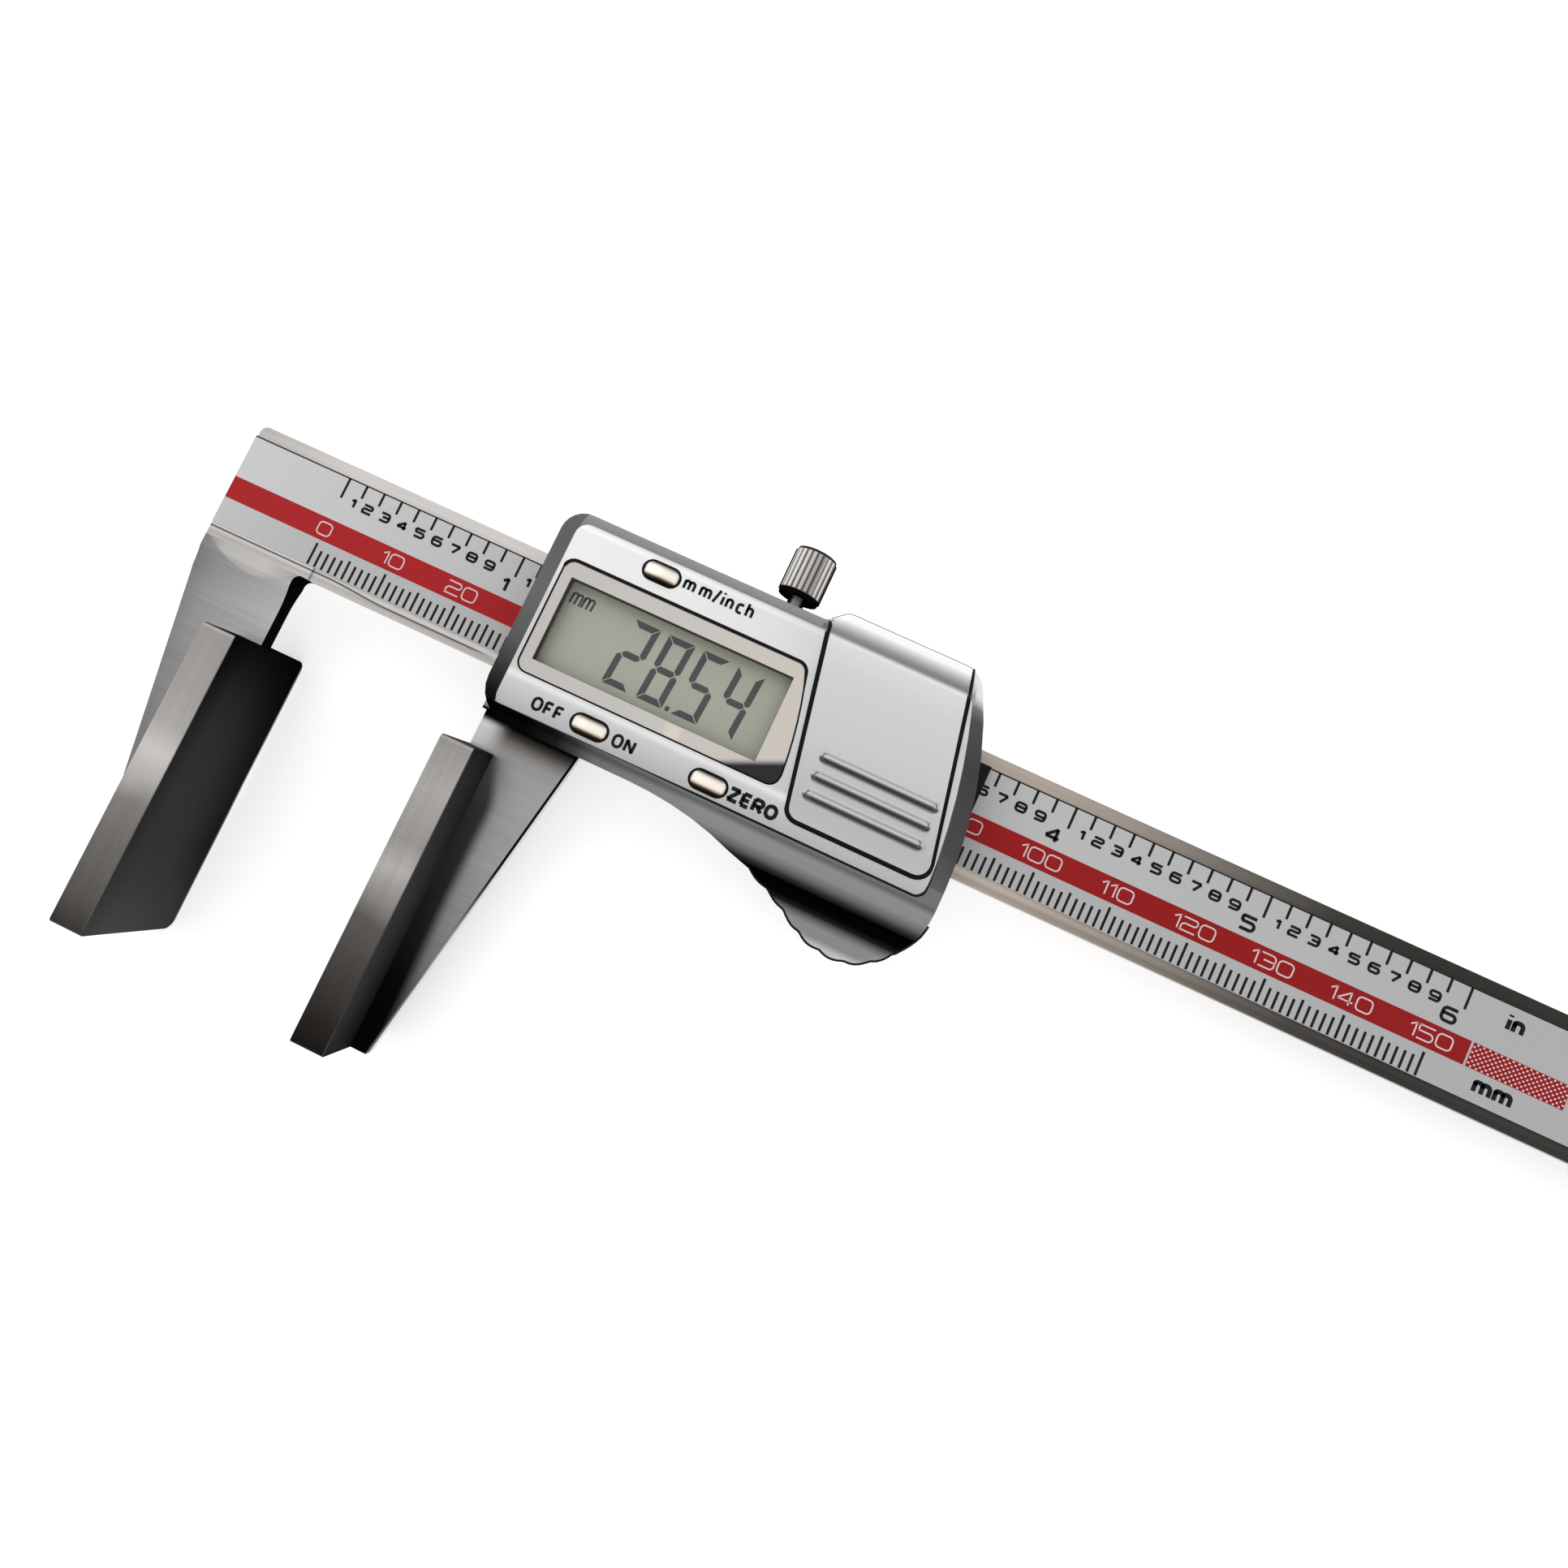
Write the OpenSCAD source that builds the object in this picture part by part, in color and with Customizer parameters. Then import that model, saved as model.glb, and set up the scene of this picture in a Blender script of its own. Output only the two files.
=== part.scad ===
// Wire rope caliper with a digital display. Lengths are in millimetres.
// X runs along the beam, from the fixed jaw to the free end. Z points out of the display.
// The origin is the centre of the fixed measuring face, and Z = 0 is the middle of the beam.

/* [Measuring plates] */
// Distance between the measuring faces
reading = 28.54; // [0:0.01:150]
// Length of each measuring plate, across the beam
plate_len = 40; // [25:1:80]
// Width of each measuring plate, front to back
plate_w = 16; // [8:0.5:30]
// Thickness of each measuring plate
plate_t = 4.3; // [3:0.1:5.5]
// Radius of the front corners of each measuring plate
plate_front_r = 0.5; // [0.2:0.1:2]
// Radius of the back corners of each measuring plate
plate_back_r = 1.3; // [0.2:0.1:3]

/* [Beam and jaws] */
// Largest reading on the scale
scale_max = 150; // [100:10:300]
// Width of the beam
beam_w = 16; // [12:0.2:18]
// Thickness of the beam
beam_t = 3; // [2.6:0.1:4]
// Width of the bare rim on each side of the scale
rim_w = 1.7; // [1:0.1:2.5]
// Depth of the ground step at each rim
rim_step = 0.25; // [0.1:0.05:0.6]
// Thickness of both jaw blades
blade_t = 2; // [1.4:0.1:2.5]
// Width of each jaw at its root, from the measuring face to its outer edge
jaw_root = 14.2; // [11:0.1:18]
// Width of each jaw at its tip
jaw_tip = 6.4; // [6:0.1:9]
// Distance of the neck of each jaw behind its measuring face
neck_back = 0.9; // [0.3:0.1:2]
// Distance from the middle of the beam to the upper end of the plates
jaw_drop = 18.2; // [16:0.1:30]
// Length of beam left over behind the slider at the largest reading
beam_tail = 7; // [6:0.5:30]
// Radius of the ground run-out of the fixed jaw
runout_r = 15; // [8:1:30]
// Thickness of the scale sheet
sheet_t = 0.2; // [0.1:0.05:0.3]

/* [Slider frame] */
// Height of the frame above the middle of the beam
frame_up = 13.2; // [12.8:0.1:14]
// Depth of the frame below the middle of the beam
frame_down = 13.4; // [13:0.1:14]
// Thickness of the front web that carries the circuit board
web_t = 0.7; // [0.5:0.1:1]
// Thickness of the back plate
back_t = 3; // [1.5:0.1:4]
// Thickness of the gib strip
gib_t = 0.9; // [0.6:0.1:1.2]

/* [Display housing] */
// Height of the display face above the middle of the beam
face_z = 9; // [8.9:0.1:10]
// Thickness of the face of the housing
face_t = 1.5; // [1.3:0.1:1.6]
// Depth of the sloping flank round the face
flank_drop = 2; // [1.4:0.1:2.6]
// Depth of the thumb grip below the middle of the beam
grip_down = 23; // [20:0.1:26]
// Width of the rounded lower right corner of the thumb grip
grip_turn_w = 8.7; // [7:0.1:10]
// Height of the rounded lower right corner of the thumb grip
grip_turn_h = 10.5; // [8:0.1:12]
// Number of scallops round the thumb grip
scallops = 7; // [4:1:10]
// Length of each scallop along the edge
scallop_l = 3.2; // [2:0.1:5]
// Depth of each scallop
scallop_depth = 0.32; // [0.1:0.02:0.6]
// Rise of the battery bulge above the upper edge of the housing
bulge = 1.9; // [1.2:0.1:2.6]
// Slant of the battery cover and of its slide
slant = 11.8; // [9:0.1:13]

/* [Display] */
// Width of the visible display
lcd_w = 29; // [24:0.1:29.4]
// Height of the visible display
lcd_h = 10.6; // [8:0.1:11]
// Thickness of the display panel
lcd_t = 2.1; // [1.2:0.1:2.4]
// Length of each button
button_l = 4.4; // [3:0.1:5]
// Width of each button
button_w = 2; // [1.4:0.1:2.4]
// Height of each button above the face
button_up = 0.45; // [0.3:0.05:0.8]

/* [Battery] */
// Diameter of the button cell
cell_d = 11.6; // [9.5:0.1:11.8]
// Thickness of the button cell
cell_t = 5.4; // [3.6:0.1:5.4]
// Width of the battery cover along the beam
cover_w = 18.1; // [17:0.05:18.5]
// Height of the cover above the face
cover_up = 0.25; // [0.1:0.05:0.5]
// Width of each grip ridge on the cover
ridge_w = 0.9; // [0.6:0.1:1.2]

/* [Lock screw] */
// Diameter of the knurled head
knob_d = 5.7; // [4.5:0.1:7]
// Length of the knurled head
knob_l = 6.2; // [4:0.1:9]
// Number of teeth on the knurled head
knurl_count = 24; // [16:1:32]
// Diameter of the thread
lock_d = 3; // [2.5:0.1:3.6]
// Height of the head above the edge of the frame
lock_gap = 2.9; // [1:0.1:5]

/* [Clearances] */
// Running clearance between flat sliding faces
run_gap = 0.1; // [0.05:0.01:0.15]
// Clearance between pieces that are fitted and stay put
fit_gap = 0.05; // [0.02:0.01:0.08]
// Gap seen at the seams of the cover, the bezel and the buttons
seam_gap = 0.15; // [0.1:0.01:0.2]

/* [Hidden] */

steel = "#b9b9b6";
ground_steel = "#a4a39f";
dark_steel = "#6e6d6b";
silver = "#d6d6d6";
warm_silver = "#c8c0b8";
gold = "#d8c2a4";
black = "#1c1c1e";
lcd_grey = "#a2a295";
board_green = "#2f5b3c";
print_grey = "#c6c7ca";

eps = 0.01;
far = 60;
half_w = beam_w / 2;
half_t = beam_t / 2;
beam_y = jaw_drop + plate_len / 2;
tip_y = -jaw_drop - plate_len;
head_r = 1;
neck_fillet = 1;
taper_y = -12.4;
relief_y = -9.6;
runout_step = (beam_t - blade_t) / 2;
runout_len = sqrt(2 * runout_r * runout_step - runout_step * runout_step);
rim_start = 0.9;

// Levels through the slider, counted from the middle of the beam
sheet_z = half_t + sheet_t;
web_z = sheet_z + 2 * run_gap;
frame_z = web_z + web_t;
back_z = -half_t - run_gap;
plate_back_z = back_z - back_t;
skirt_z = -half_t;
ceiling_z = face_z - face_t;
board_t = 0.8;
board_z = frame_z + board_t;

// Plan of the slider, counted from the moving measuring face and the middle of the beam
slot_up = half_w + 2 * run_gap + gib_t;
slot_down = half_w + run_gap;
// From left to right each piece starts from the one before: bezel, cover, housing, frame
house_x0 = 1.6;
bezel_in = 3.3;
bezel_x0 = house_x0 + bezel_in;
bezel_rim = 1.55;
bezel_rim_right = 3.6;
lcd_x0 = bezel_x0 + bezel_rim;
bezel_x1 = lcd_x0 + lcd_w + bezel_rim_right;
cover_in = 0.25;
cover_x = bezel_x1 + cover_in;
cover_rim = 4.5;
house_x1 = cover_x + cover_w + cover_rim;
frame_x0 = neck_back;
house_lap = 1.6;
frame_x1 = house_x1 - house_lap;
frame_slant = 5;
frame_top_x1 = frame_x1 - frame_slant;
wiper_w = 6.3;
wiper_l = 3.4;
wiper_out = 1.2;
wiper_x = frame_x1 - wiper_l + wiper_out;
window_in = 5;
window_x0 = frame_x0 + window_in;
window_x1 = wiper_x - 2;
window_h = 7;

rail_top_y = (slot_up + frame_up) / 2;
rail_low_y = -(slot_down + frame_down) / 2;

// Outline of the housing
house_up = 13.5;
house_down = 14;
corner_up_r = 3;
corner_low_r = 4.6;
side_r = 52;
side_y = -10;
face_x0 = house_x0 + 2.7;
face_x1 = house_x1 - 2.3;
face_up = 11.8;
face_down = 12.5;
face_r = 1.6;
face_side_r = 80;
face_side_y = -14;
skirt_x = 27;
bulge_up = house_up + bulge;
bulge_x = cover_x - 3.7;
bulge_run = 3;
bulge_corner_r = 3.2;
sweep_x = 22.5;
pad_l = 6;
low_x = house_x1 - grip_turn_w;
scallop_x = low_x - 13.2;
wall = 1.3;

// Battery cover, a parallelogram with its sides along the slide
cover_low = -10.1;
cover_r = 1.7;
cover_len = bulge_up - cover_low;
deck_z = ceiling_z + 0.75;
lip_y = house_up - 0.1;
lip_z = frame_z + 0.8;
tongue_t = 0.35;
tongue_w = 0.6;
tongue_low = 3;
tongue_up = 10;
slide_dir = [-sin(slant), cos(slant), 0];
function cover_edge(y) = cover_x - y * tan(slant);

// Bezel and display
bezel_up = 7.1;
bezel_down = 7.4;
bezel_r = 1.2;
bezel_z = face_z - 0.05;
ledge_z = ceiling_z + 0.5;
window_t = 0.5;
lcd_y0 = -5.65;
window_lap = 0.8;
panel_lap = 1.5;
panel_z = ceiling_z - fit_gap;
strip_w = 1.2;

// Buttons
unit_at = [bezel_x0 + 11, 9.95];
power_at = [bezel_x0 + 11.2, -10.25];
zero_at = [bezel_x1 - 7.4, -10.3];
flange = 0.45;
flange_t = 0.5;
stem_z = board_z + 2;
key_r = 1.1;

// Battery well
cell_at = [cover_x + 8.3, 2.2];
cell_z = frame_z + 0.2;
well_r = cell_d / 2 + 0.35;
well_wall = 0.9;
contact_t = 0.2;
contact_r = 3.2;
contact_w = 4;
contact_up = 1.2;

// Screws
gib_screw_x = [frame_x0 + 11, frame_x1 - 14.4];
gib_screw_r = 1;
gib_screw_sink = 0.5;
lock_x = bulge_x - 4.95;
lock_r = lock_d / 2;
pad_t = 1.1;
back_screw_x = [frame_x0 + 17, frame_x1 - 20.4];
back_screw_r = 0.8;
back_screw_l = 2;
case_screw_in = 5.3;
case_screw_in_right = 3.3;
case_screws = [
    [case_screw_in, rail_top_y], [frame_top_x1 - case_screw_in_right, rail_top_y],
    [case_screw_in, rail_low_y], [frame_x1 - case_screw_in_right, rail_low_y]
];
case_screw_r = 0.7;
case_screw_bite = 3;
case_head_r = 1.4;
case_head_t = 1;
boss_r = 1.5;
stop_l = 5;
stop_t = 1.4;
stop_screw_y = 4;
stop_screw_r = 0.8;

slider_back = 4;
beam_end = scale_max + frame_x1 + slider_back + beam_tail;
sheet_x0 = -jaw_root + 0.1;

function arc(c, r, a0, a1, n) =
    [for (i = [0:n]) c + r * [cos(a0 + (a1 - a0) * i / n), sin(a0 + (a1 - a0) * i / n)]];
function run(a, b, n) = [for (i = [0:n]) a + (b - a) * i / n];
function smooth(t) = let(c = max(0, min(1, t))) c * c * (3 - 2 * c);

module on_beam() {
    translate([0, beam_y, 0]) children();
}

module on_slider() {
    translate([reading, beam_y, 0]) children();
}

module block(x0, x1, y0, y1, z0, z1) {
    translate([x0, y0, z0]) cube([x1 - x0, y1 - y0, z1 - z0]);
}

module slab(z0, z1) {
    translate([0, 0, z0]) linear_extrude(z1 - z0) children();
}

module along_y(at, y0, y1, r) {
    translate([at[0], y0, at[1]]) rotate([-90, 0, 0]) cylinder(r = r, h = y1 - y0, $fn = 48);
}

module countersunk(r, top_z, tip_z) {
    head = 2 * r;
    translate([0, 0, top_z]) cylinder(r1 = head, r2 = r, h = r, $fn = 40);
    translate([0, 0, top_z]) cylinder(r = r, h = tip_z - top_z, $fn = 40);
}

// Beam and jaws

// Outline of the beam with the fixed jaw, cut back by the plate's thickness at its seat
module beam_outline() {
    neck_at = [-neck_back + neck_fillet, -half_w - neck_fillet];
    polygon(concat(
        [[beam_end, -half_w], [beam_end, half_w]],
        arc([-jaw_root + head_r, half_w - head_r], head_r, 90, 180, 6),
        [[-jaw_root, taper_y], [-jaw_tip, tip_y], [-plate_t, tip_y]],
        [[-plate_t, -jaw_drop], [-neck_back, -jaw_drop]],
        arc(neck_at, neck_fillet, 180, 90, 6)
    ));
}

// Both sides of the blade are ground back, and the cut runs out in an arc below the beam
module blade_relief() {
    foot_y = relief_y - runout_len;
    for (side = [0, 1]) mirror([0, 0, side]) {
        translate([-jaw_root - 1, foot_y, blade_t / 2 + runout_r])
            rotate([0, 90, 0]) cylinder(r = runout_r, h = jaw_root + 3, $fn = 96);
        block(-jaw_root - 1, 2, tip_y - 1, foot_y, blade_t / 2, half_t + 1);
    }
}

module beam() {
    color(ground_steel) on_beam() difference() {
        slab(-half_t, half_t) beam_outline();
        blade_relief();
        // The upper rim runs the whole length, and the lower one starts beside the jaw
        for (side = [0, 1]) mirror([0, side, 0]) block(
            side == 0 ? -jaw_root - 1 : rim_start, beam_end + 1,
            half_w - rim_w, half_w + 1,
            half_t - rim_step, half_t + 1
        );
        for (y = [-stop_screw_y, stop_screw_y])
            translate([beam_end - stop_l / 2, y, -half_t - eps])
                cylinder(r = stop_screw_r + fit_gap, h = beam_t - 0.6, $fn = 32);
    }
}

// Measuring plate with its face on X = 0 and its body on the +X side
module measuring_plate() {
    y1 = -jaw_drop;
    z1 = plate_w / 2;
    f = plate_front_r;
    b = plate_back_r;
    rotate([90, 0, 90]) linear_extrude(plate_t) polygon(concat(
        arc([y1 - f, z1 - f], f, 0, 90, 5),
        arc([tip_y + f, z1 - f], f, 90, 180, 5),
        arc([tip_y + b, b - z1], b, 180, 270, 6),
        arc([y1 - b, b - z1], b, 270, 360, 6)
    ));
}

module fixed_plate() {
    color(steel) on_beam() translate([-plate_t, 0, 0]) measuring_plate();
}

module moving_plate() {
    color(steel) on_slider() measuring_plate();
}

module scale_sheet() {
    land = half_w - rim_w;
    color(print_grey) on_beam()
        block(sheet_x0, beam_end - 0.5, -land, land, half_t, sheet_z);
}

module end_stop() {
    color(steel) on_beam() difference() {
        block(beam_end - stop_l, beam_end, -half_w + 1, half_w - 1, -half_t - stop_t, -half_t);
        for (y = [-stop_screw_y, stop_screw_y]) translate([beam_end - stop_l / 2, y, 0])
            countersunk(stop_screw_r + fit_gap, -half_t - stop_t - eps, half_t);
    }
}

module end_stop_screws() {
    color(dark_steel) on_beam()
        for (y = [-stop_screw_y, stop_screw_y]) translate([beam_end - stop_l / 2, y, 0])
            countersunk(stop_screw_r, -half_t - stop_t, half_t - 1);
}

// Slider frame

module frame_outline() {
    polygon([
        [frame_x0, -frame_down], [frame_x1, -frame_down], [frame_x1, -half_w],
        [frame_top_x1, frame_up], [frame_x0, frame_up]
    ]);
}

// Blade of the moving jaw, a mirror image of the fixed one
module moving_blade_outline() {
    polygon([
        [neck_back, -frame_down + 1], [neck_back, -jaw_drop], [plate_t, -jaw_drop],
        [plate_t, tip_y], [jaw_tip, tip_y], [jaw_root, taper_y - 1], [jaw_root, -frame_down + 1]
    ]);
}

module slider_frame() {
    color(ground_steel) on_slider() difference() {
        union() {
            slab(back_z, frame_z) frame_outline();
            slab(-blade_t / 2, blade_t / 2) moving_blade_outline();
        }
        block(frame_x0 - 1, far + 10, -slot_down, slot_up, back_z - 1, web_z);
        block(window_x0, window_x1, -window_h, window_h, web_z - 1, frame_z + 1);
        block(wiper_x, far + 10, -wiper_w - fit_gap, wiper_w + fit_gap, web_z - 1, frame_z + 1);
        for (x = gib_screw_x)
            along_y([x, 0], half_w, frame_up + 1, gib_screw_r + fit_gap);
        along_y([lock_x, 0], half_w, frame_up + 1, lock_r + fit_gap);
        for (x = back_screw_x, y = [rail_low_y, rail_top_y])
            translate([x, y, back_z - eps])
                cylinder(r = back_screw_r + fit_gap, h = back_screw_l + 0.4, $fn = 32);
        for (at = case_screws) translate([at[0], at[1], back_z - eps]) {
            cylinder(r = case_screw_r + fit_gap, h = frame_z - back_z + 1, $fn = 32);
            cylinder(r = case_head_r + fit_gap, h = case_head_t + fit_gap, $fn = 32);
        }
    }
}

module back_plate() {
    color(steel) on_slider() difference() {
        slab(plate_back_z, back_z) frame_outline();
        for (x = back_screw_x, y = [rail_low_y, rail_top_y]) translate([x, y, 0])
            countersunk(back_screw_r + fit_gap, plate_back_z - eps, 0);
    }
}

module back_plate_screws() {
    color(dark_steel) on_slider() for (x = back_screw_x, y = [rail_low_y, rail_top_y])
        translate([x, y, 0]) countersunk(back_screw_r, plate_back_z, back_z + back_screw_l);
}

module gib_strip() {
    color(gold) on_slider() block(
        frame_x0 + 1, frame_top_x1 - 2,
        half_w + run_gap, half_w + run_gap + gib_t,
        -half_t + run_gap, half_t - rim_step - run_gap
    );
}

module gib_screws() {
    color(dark_steel) on_slider() for (x = gib_screw_x)
        along_y([x, 0], slot_up - run_gap + fit_gap, frame_up - gib_screw_sink, gib_screw_r);
}

module rear_wiper() {
    color(black) on_slider()
        block(wiper_x, wiper_x + wiper_l, -wiper_w, wiper_w, sheet_z + run_gap, frame_z - fit_gap);
}

// Display housing

// The lower edge leaves the straight in one arc and meets the thumb grip's arc at the same slope
grip_a = 2 * atan((grip_down - house_down) / (low_x - sweep_x));
pad_r = pad_l / sin(grip_a);
sweep_r = (low_x - sweep_x - pad_l) / sin(grip_a);
scallop_a = asin((scallop_x - sweep_x) / sweep_r);

// The right side is an arc that leaves the grip upright. A smaller arc rounds it to the top.
function side_turn(r, up, bow, bow_y) = asin((up - r - bow_y) / (bow - r));
function side_line(r, x1, low, up, bow, bow_y) = let(a = side_turn(r, up, bow, bow_y)) concat(
    arc([x1 - bow, bow_y], bow, asin((low - bow_y) / bow), a, side_n),
    arc([x1 - bow, bow_y] + (bow - r) * [cos(a), sin(a)], r, a, 90, corner_n)
);

// Outer and face outlines have the same count of points, so that they can be lofted
low_n = 6;
edge_n = 20;
pad_n = 16;
turn_n = 32;
corner_n = 6;
side_n = 6;
bulge_n = 8;

function bulge_edge(t) = [
    bulge_x + bulge_run * t,
    house_up + bulge * smooth(t)
];

outer_line = concat(
    arc([house_x0 + corner_up_r, house_up - corner_up_r], corner_up_r, 90, 180, corner_n),
    arc([house_x0 + corner_low_r, corner_low_r - house_down], corner_low_r, 180, 270, corner_n),
    arc([sweep_x, -house_down - sweep_r], sweep_r, 90, 90 - scallop_a, low_n),
    arc([sweep_x, -house_down - sweep_r], sweep_r, 90 - scallop_a - 0.3, 90 - grip_a, edge_n),
    [for (i = [1:pad_n]) let(a = grip_a * (1 - i / pad_n))
        [low_x - pad_r * sin(a), pad_r * (1 - cos(a)) - grip_down]],
    [for (i = [1:turn_n]) let(a = 90 * i / turn_n)
        [low_x + grip_turn_w * sin(a), grip_turn_h * (1 - cos(a)) - grip_down]],
    side_line(bulge_corner_r, house_x1, side_y, bulge_up, side_r, side_y),
    [for (i = [0:bulge_n]) bulge_edge(1 - i / bulge_n)]
);

face_line = concat(
    arc([face_x0 + face_r, face_up - face_r], face_r, 90, 180, corner_n),
    arc([face_x0 + face_r, face_r - face_down], face_r, 180, 270, corner_n),
    run([sweep_x, -face_down], [scallop_x, -face_down], low_n),
    run([scallop_x + 0.3, -face_down], [low_x - pad_l, -face_down], edge_n),
    [for (i = [1:pad_n]) [low_x - pad_l + (face_x1 - face_r - low_x + pad_l) * i / pad_n, -face_down]],
    [for (i = [1:turn_n]) [face_x1 - face_r, face_r - face_down]
        + face_r * [sin(90 * i / turn_n), -cos(90 * i / turn_n)]],
    side_line(face_r, face_x1, face_r - face_down + 0.3, face_up, face_side_r, face_side_y),
    run([bulge_x + bulge_run, face_up], [bulge_x, face_up], bulge_n)
);

// Scallops are cut into the edge of the grip and fade out towards the face
scallop_i0 = 2 * (corner_n + 1) + low_n;
edge_run = [for (i = 0, l = 0; i < len(outer_line); i = i + 1,
    l = l + norm(outer_line[min(i, len(outer_line) - 1)] - outer_line[i - 1])) l];
function scallop(i) = let(t = (edge_run[i] - edge_run[scallop_i0]) / scallop_l)
    t < 0 || t > scallops ? 0 : scallop_depth * (1 - abs(sin(180 * t)));
function fade(s) = max(0, (s - 0.75) / 0.25);

// Section of the thumb grip: distance below the edge of the face, and height lost there
grip_section = [[0, 0], [1.9, 0.38], [3.5, 0.85], [4.3, 1.5], [5.25, 2.6], [6.1, 3.75], [6.9, 4.4],
    [8.4, 4.8], [grip_down - face_down, 5.2]];
grip_edge_r = 1.1;
function grip_share(p) = smooth((-house_down - 0.3 - p[1]) / 3);
function grip_drop(p, edge) = lookup(max(0, -face_down - p[1]), grip_section)
    + (edge < grip_edge_r ? grip_edge_r - sqrt(edge * (2 * grip_edge_r - edge)) : 0);
function slope_drop(s) = flank_drop * (0.45 * s + 0.55 * (1 - sqrt(1 - s * s)));
function flank_point(i, s) =
    let(a = face_line[i], b = outer_line[i], l = norm(b - a), w = grip_share(b))
    let(p = a + (b - a) * (s - scallop(i) * fade(s) / l))
    [p[0], p[1], face_z - (1 - w) * slope_drop(s) - w * grip_drop(p, l * (1 - s))];

flank_steps = [1, 0.985, 0.95, 0.9, 0.8, 0.7, 0.62, 0.54, 0.46, 0.38, 0.3, 0.15, 0];

// Solid form of the housing, lofted from the outer outline up to the face
module housing_form() {
    n = len(outer_line);
    foot = [for (i = [0:n - 1]) let(p = flank_point(i, 1)) [p[0], p[1], skirt_z]];
    rings = concat([foot], [for (s = flank_steps) [for (i = [0:n - 1]) flank_point(i, s)]]);
    points = [for (ring = rings) each ring];
    sides = [for (k = [0:len(rings) - 2], i = [0:n - 1])
        let(a = k * n + i, b = k * n + (i + 1) % n, c = b + n, d = a + n)
        each [[a, d, c], [a, c, b]]];
    top = (len(rings) - 1) * n;
    polyhedron(points, concat(sides, [[for (i = [0:n - 1]) i]], [[for (i = [n - 1:-1:0]) top + i]]));
}

module cover_outline(grow, top_y) {
    k = cos(slant);
    y0 = cover_low - grow;
    r = cover_r + grow;
    function left(y) = cover_edge(y) - grow / k;
    function right(y) = cover_edge(y) + cover_w + grow / k;
    polygon(concat(
        [[right(top_y), top_y], [left(top_y), top_y]],
        arc([left(y0 + r) + r / k, y0 + r], r, 180 + slant, 270, 6),
        arc([right(y0 + r) - r / k, y0 + r], r, 270, 360 + slant, 6)
    ));
}

// The right edge of the bezel is an arc of the same radius as the side of the housing
module bezel_outline(grow) {
    r = bezel_r + grow;
    x0 = bezel_x0 - grow;
    x1 = bezel_x1 + grow;
    y0 = -bezel_down - grow;
    y1 = bezel_up + grow;
    polygon(concat(
        arc([x0 + r, y0 + r], r, 180, 270, 5),
        arc([x1 - r - 0.2, y0 + r], r, 270, 360, 5),
        side_line(r, x1, y0 + r + 0.3, y1, side_r, side_y),
        arc([x0 + r, y1 - r], r, 90, 180, 5)
    ));
}

module stadium(l, w) {
    hull() for (side = [-1, 1]) translate([side * (l - w) / 2, 0]) circle(d = w, $fn = 40);
}

module rounded_window(grow) {
    r = 0.5;
    hull() for (x = [lcd_x0 - grow + r, lcd_x0 + lcd_w + grow - r])
        for (y = [lcd_y0 - grow + r, lcd_y0 + lcd_h + grow - r])
            translate([x, y]) circle(r = r, $fn = 24);
}

// Screw boss with a web that runs to the nearest wall
module boss(at, grow) {
    wall_y = at[1] > 0 ? house_up - wall + 0.2 : wall - house_down - 0.2;
    half = boss_r + grow;
    hull() {
        translate(at) circle(r = half, $fn = 32);
        translate([at[0] - half, min(at[1], wall_y)]) square([2 * half, abs(wall_y - at[1])]);
    }
}

// Room inside the housing for the circuit board and the display
module housing_cavity() {
    x0 = house_x0 + wall;
    y0 = -house_down + wall;
    y1 = house_up - wall;
    slab(frame_z - 1, ceiling_z) polygon([
        [x0, y0], [house_x1 - wall - 1, y0], [house_x1 - wall - 1, -half_w],
        [frame_top_x1 + 0.6 - wall, y1], [x0, y1]
    ]);
}

module cover_pocket() {
    slab(deck_z, face_z + 3) cover_outline(seam_gap, far);
    intersection() {
        slab(lip_z - seam_gap, face_z + 3) cover_outline(seam_gap, far);
        block(-far, 2 * far, lip_y, far, 0, face_z + 3);
    }
    slab(deck_z, deck_z + tongue_t + 2 * run_gap) polygon([
        [cover_edge(cover_low + cover_r) - tongue_w - seam_gap, cover_low + cover_r],
        [cover_edge(cover_low + cover_r) + cover_w + tongue_w + seam_gap, cover_low + cover_r],
        [cover_edge(far) + cover_w + tongue_w + seam_gap, far],
        [cover_edge(far) - tongue_w - seam_gap, far]
    ]);
}

module battery_well() {
    translate([cell_at[0], cell_at[1], frame_z]) difference() {
        cylinder(r = well_r + well_wall, h = ceiling_z - frame_z + eps, $fn = 64);
        translate([0, 0, -1]) cylinder(r = well_r, h = face_z, $fn = 64);
    }
}

module housing() {
    color(silver) on_slider() difference() {
        union() {
            difference() {
                housing_form();
                housing_cavity();
            }
            battery_well();
            for (at = case_screws) slab(frame_z, ceiling_z + eps) boss(at, 0);
        }
        block(-far, 2 * far, -frame_down - seam_gap, far, -far, frame_z);
        block(-far, skirt_x, -far, far, -far, frame_z);
        cover_pocket();
        translate([cell_at[0], cell_at[1], frame_z]) cylinder(r = well_r, h = face_z, $fn = 64);
        slab(ledge_z, face_z + 1) bezel_outline(seam_gap);
        slab(ceiling_z - 1, face_z + 1) rounded_window(0.2);
        for (at = [unit_at, power_at, zero_at]) translate([at[0], at[1], 0])
            slab(ceiling_z - 1, face_z + 1) stadium(button_l + 2 * seam_gap, button_w + 2 * seam_gap);
        for (at = case_screws) translate([at[0], at[1], frame_z - 1])
            cylinder(r = case_screw_r + fit_gap, h = case_screw_bite + 1.5, $fn = 32);
    }
}

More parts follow.
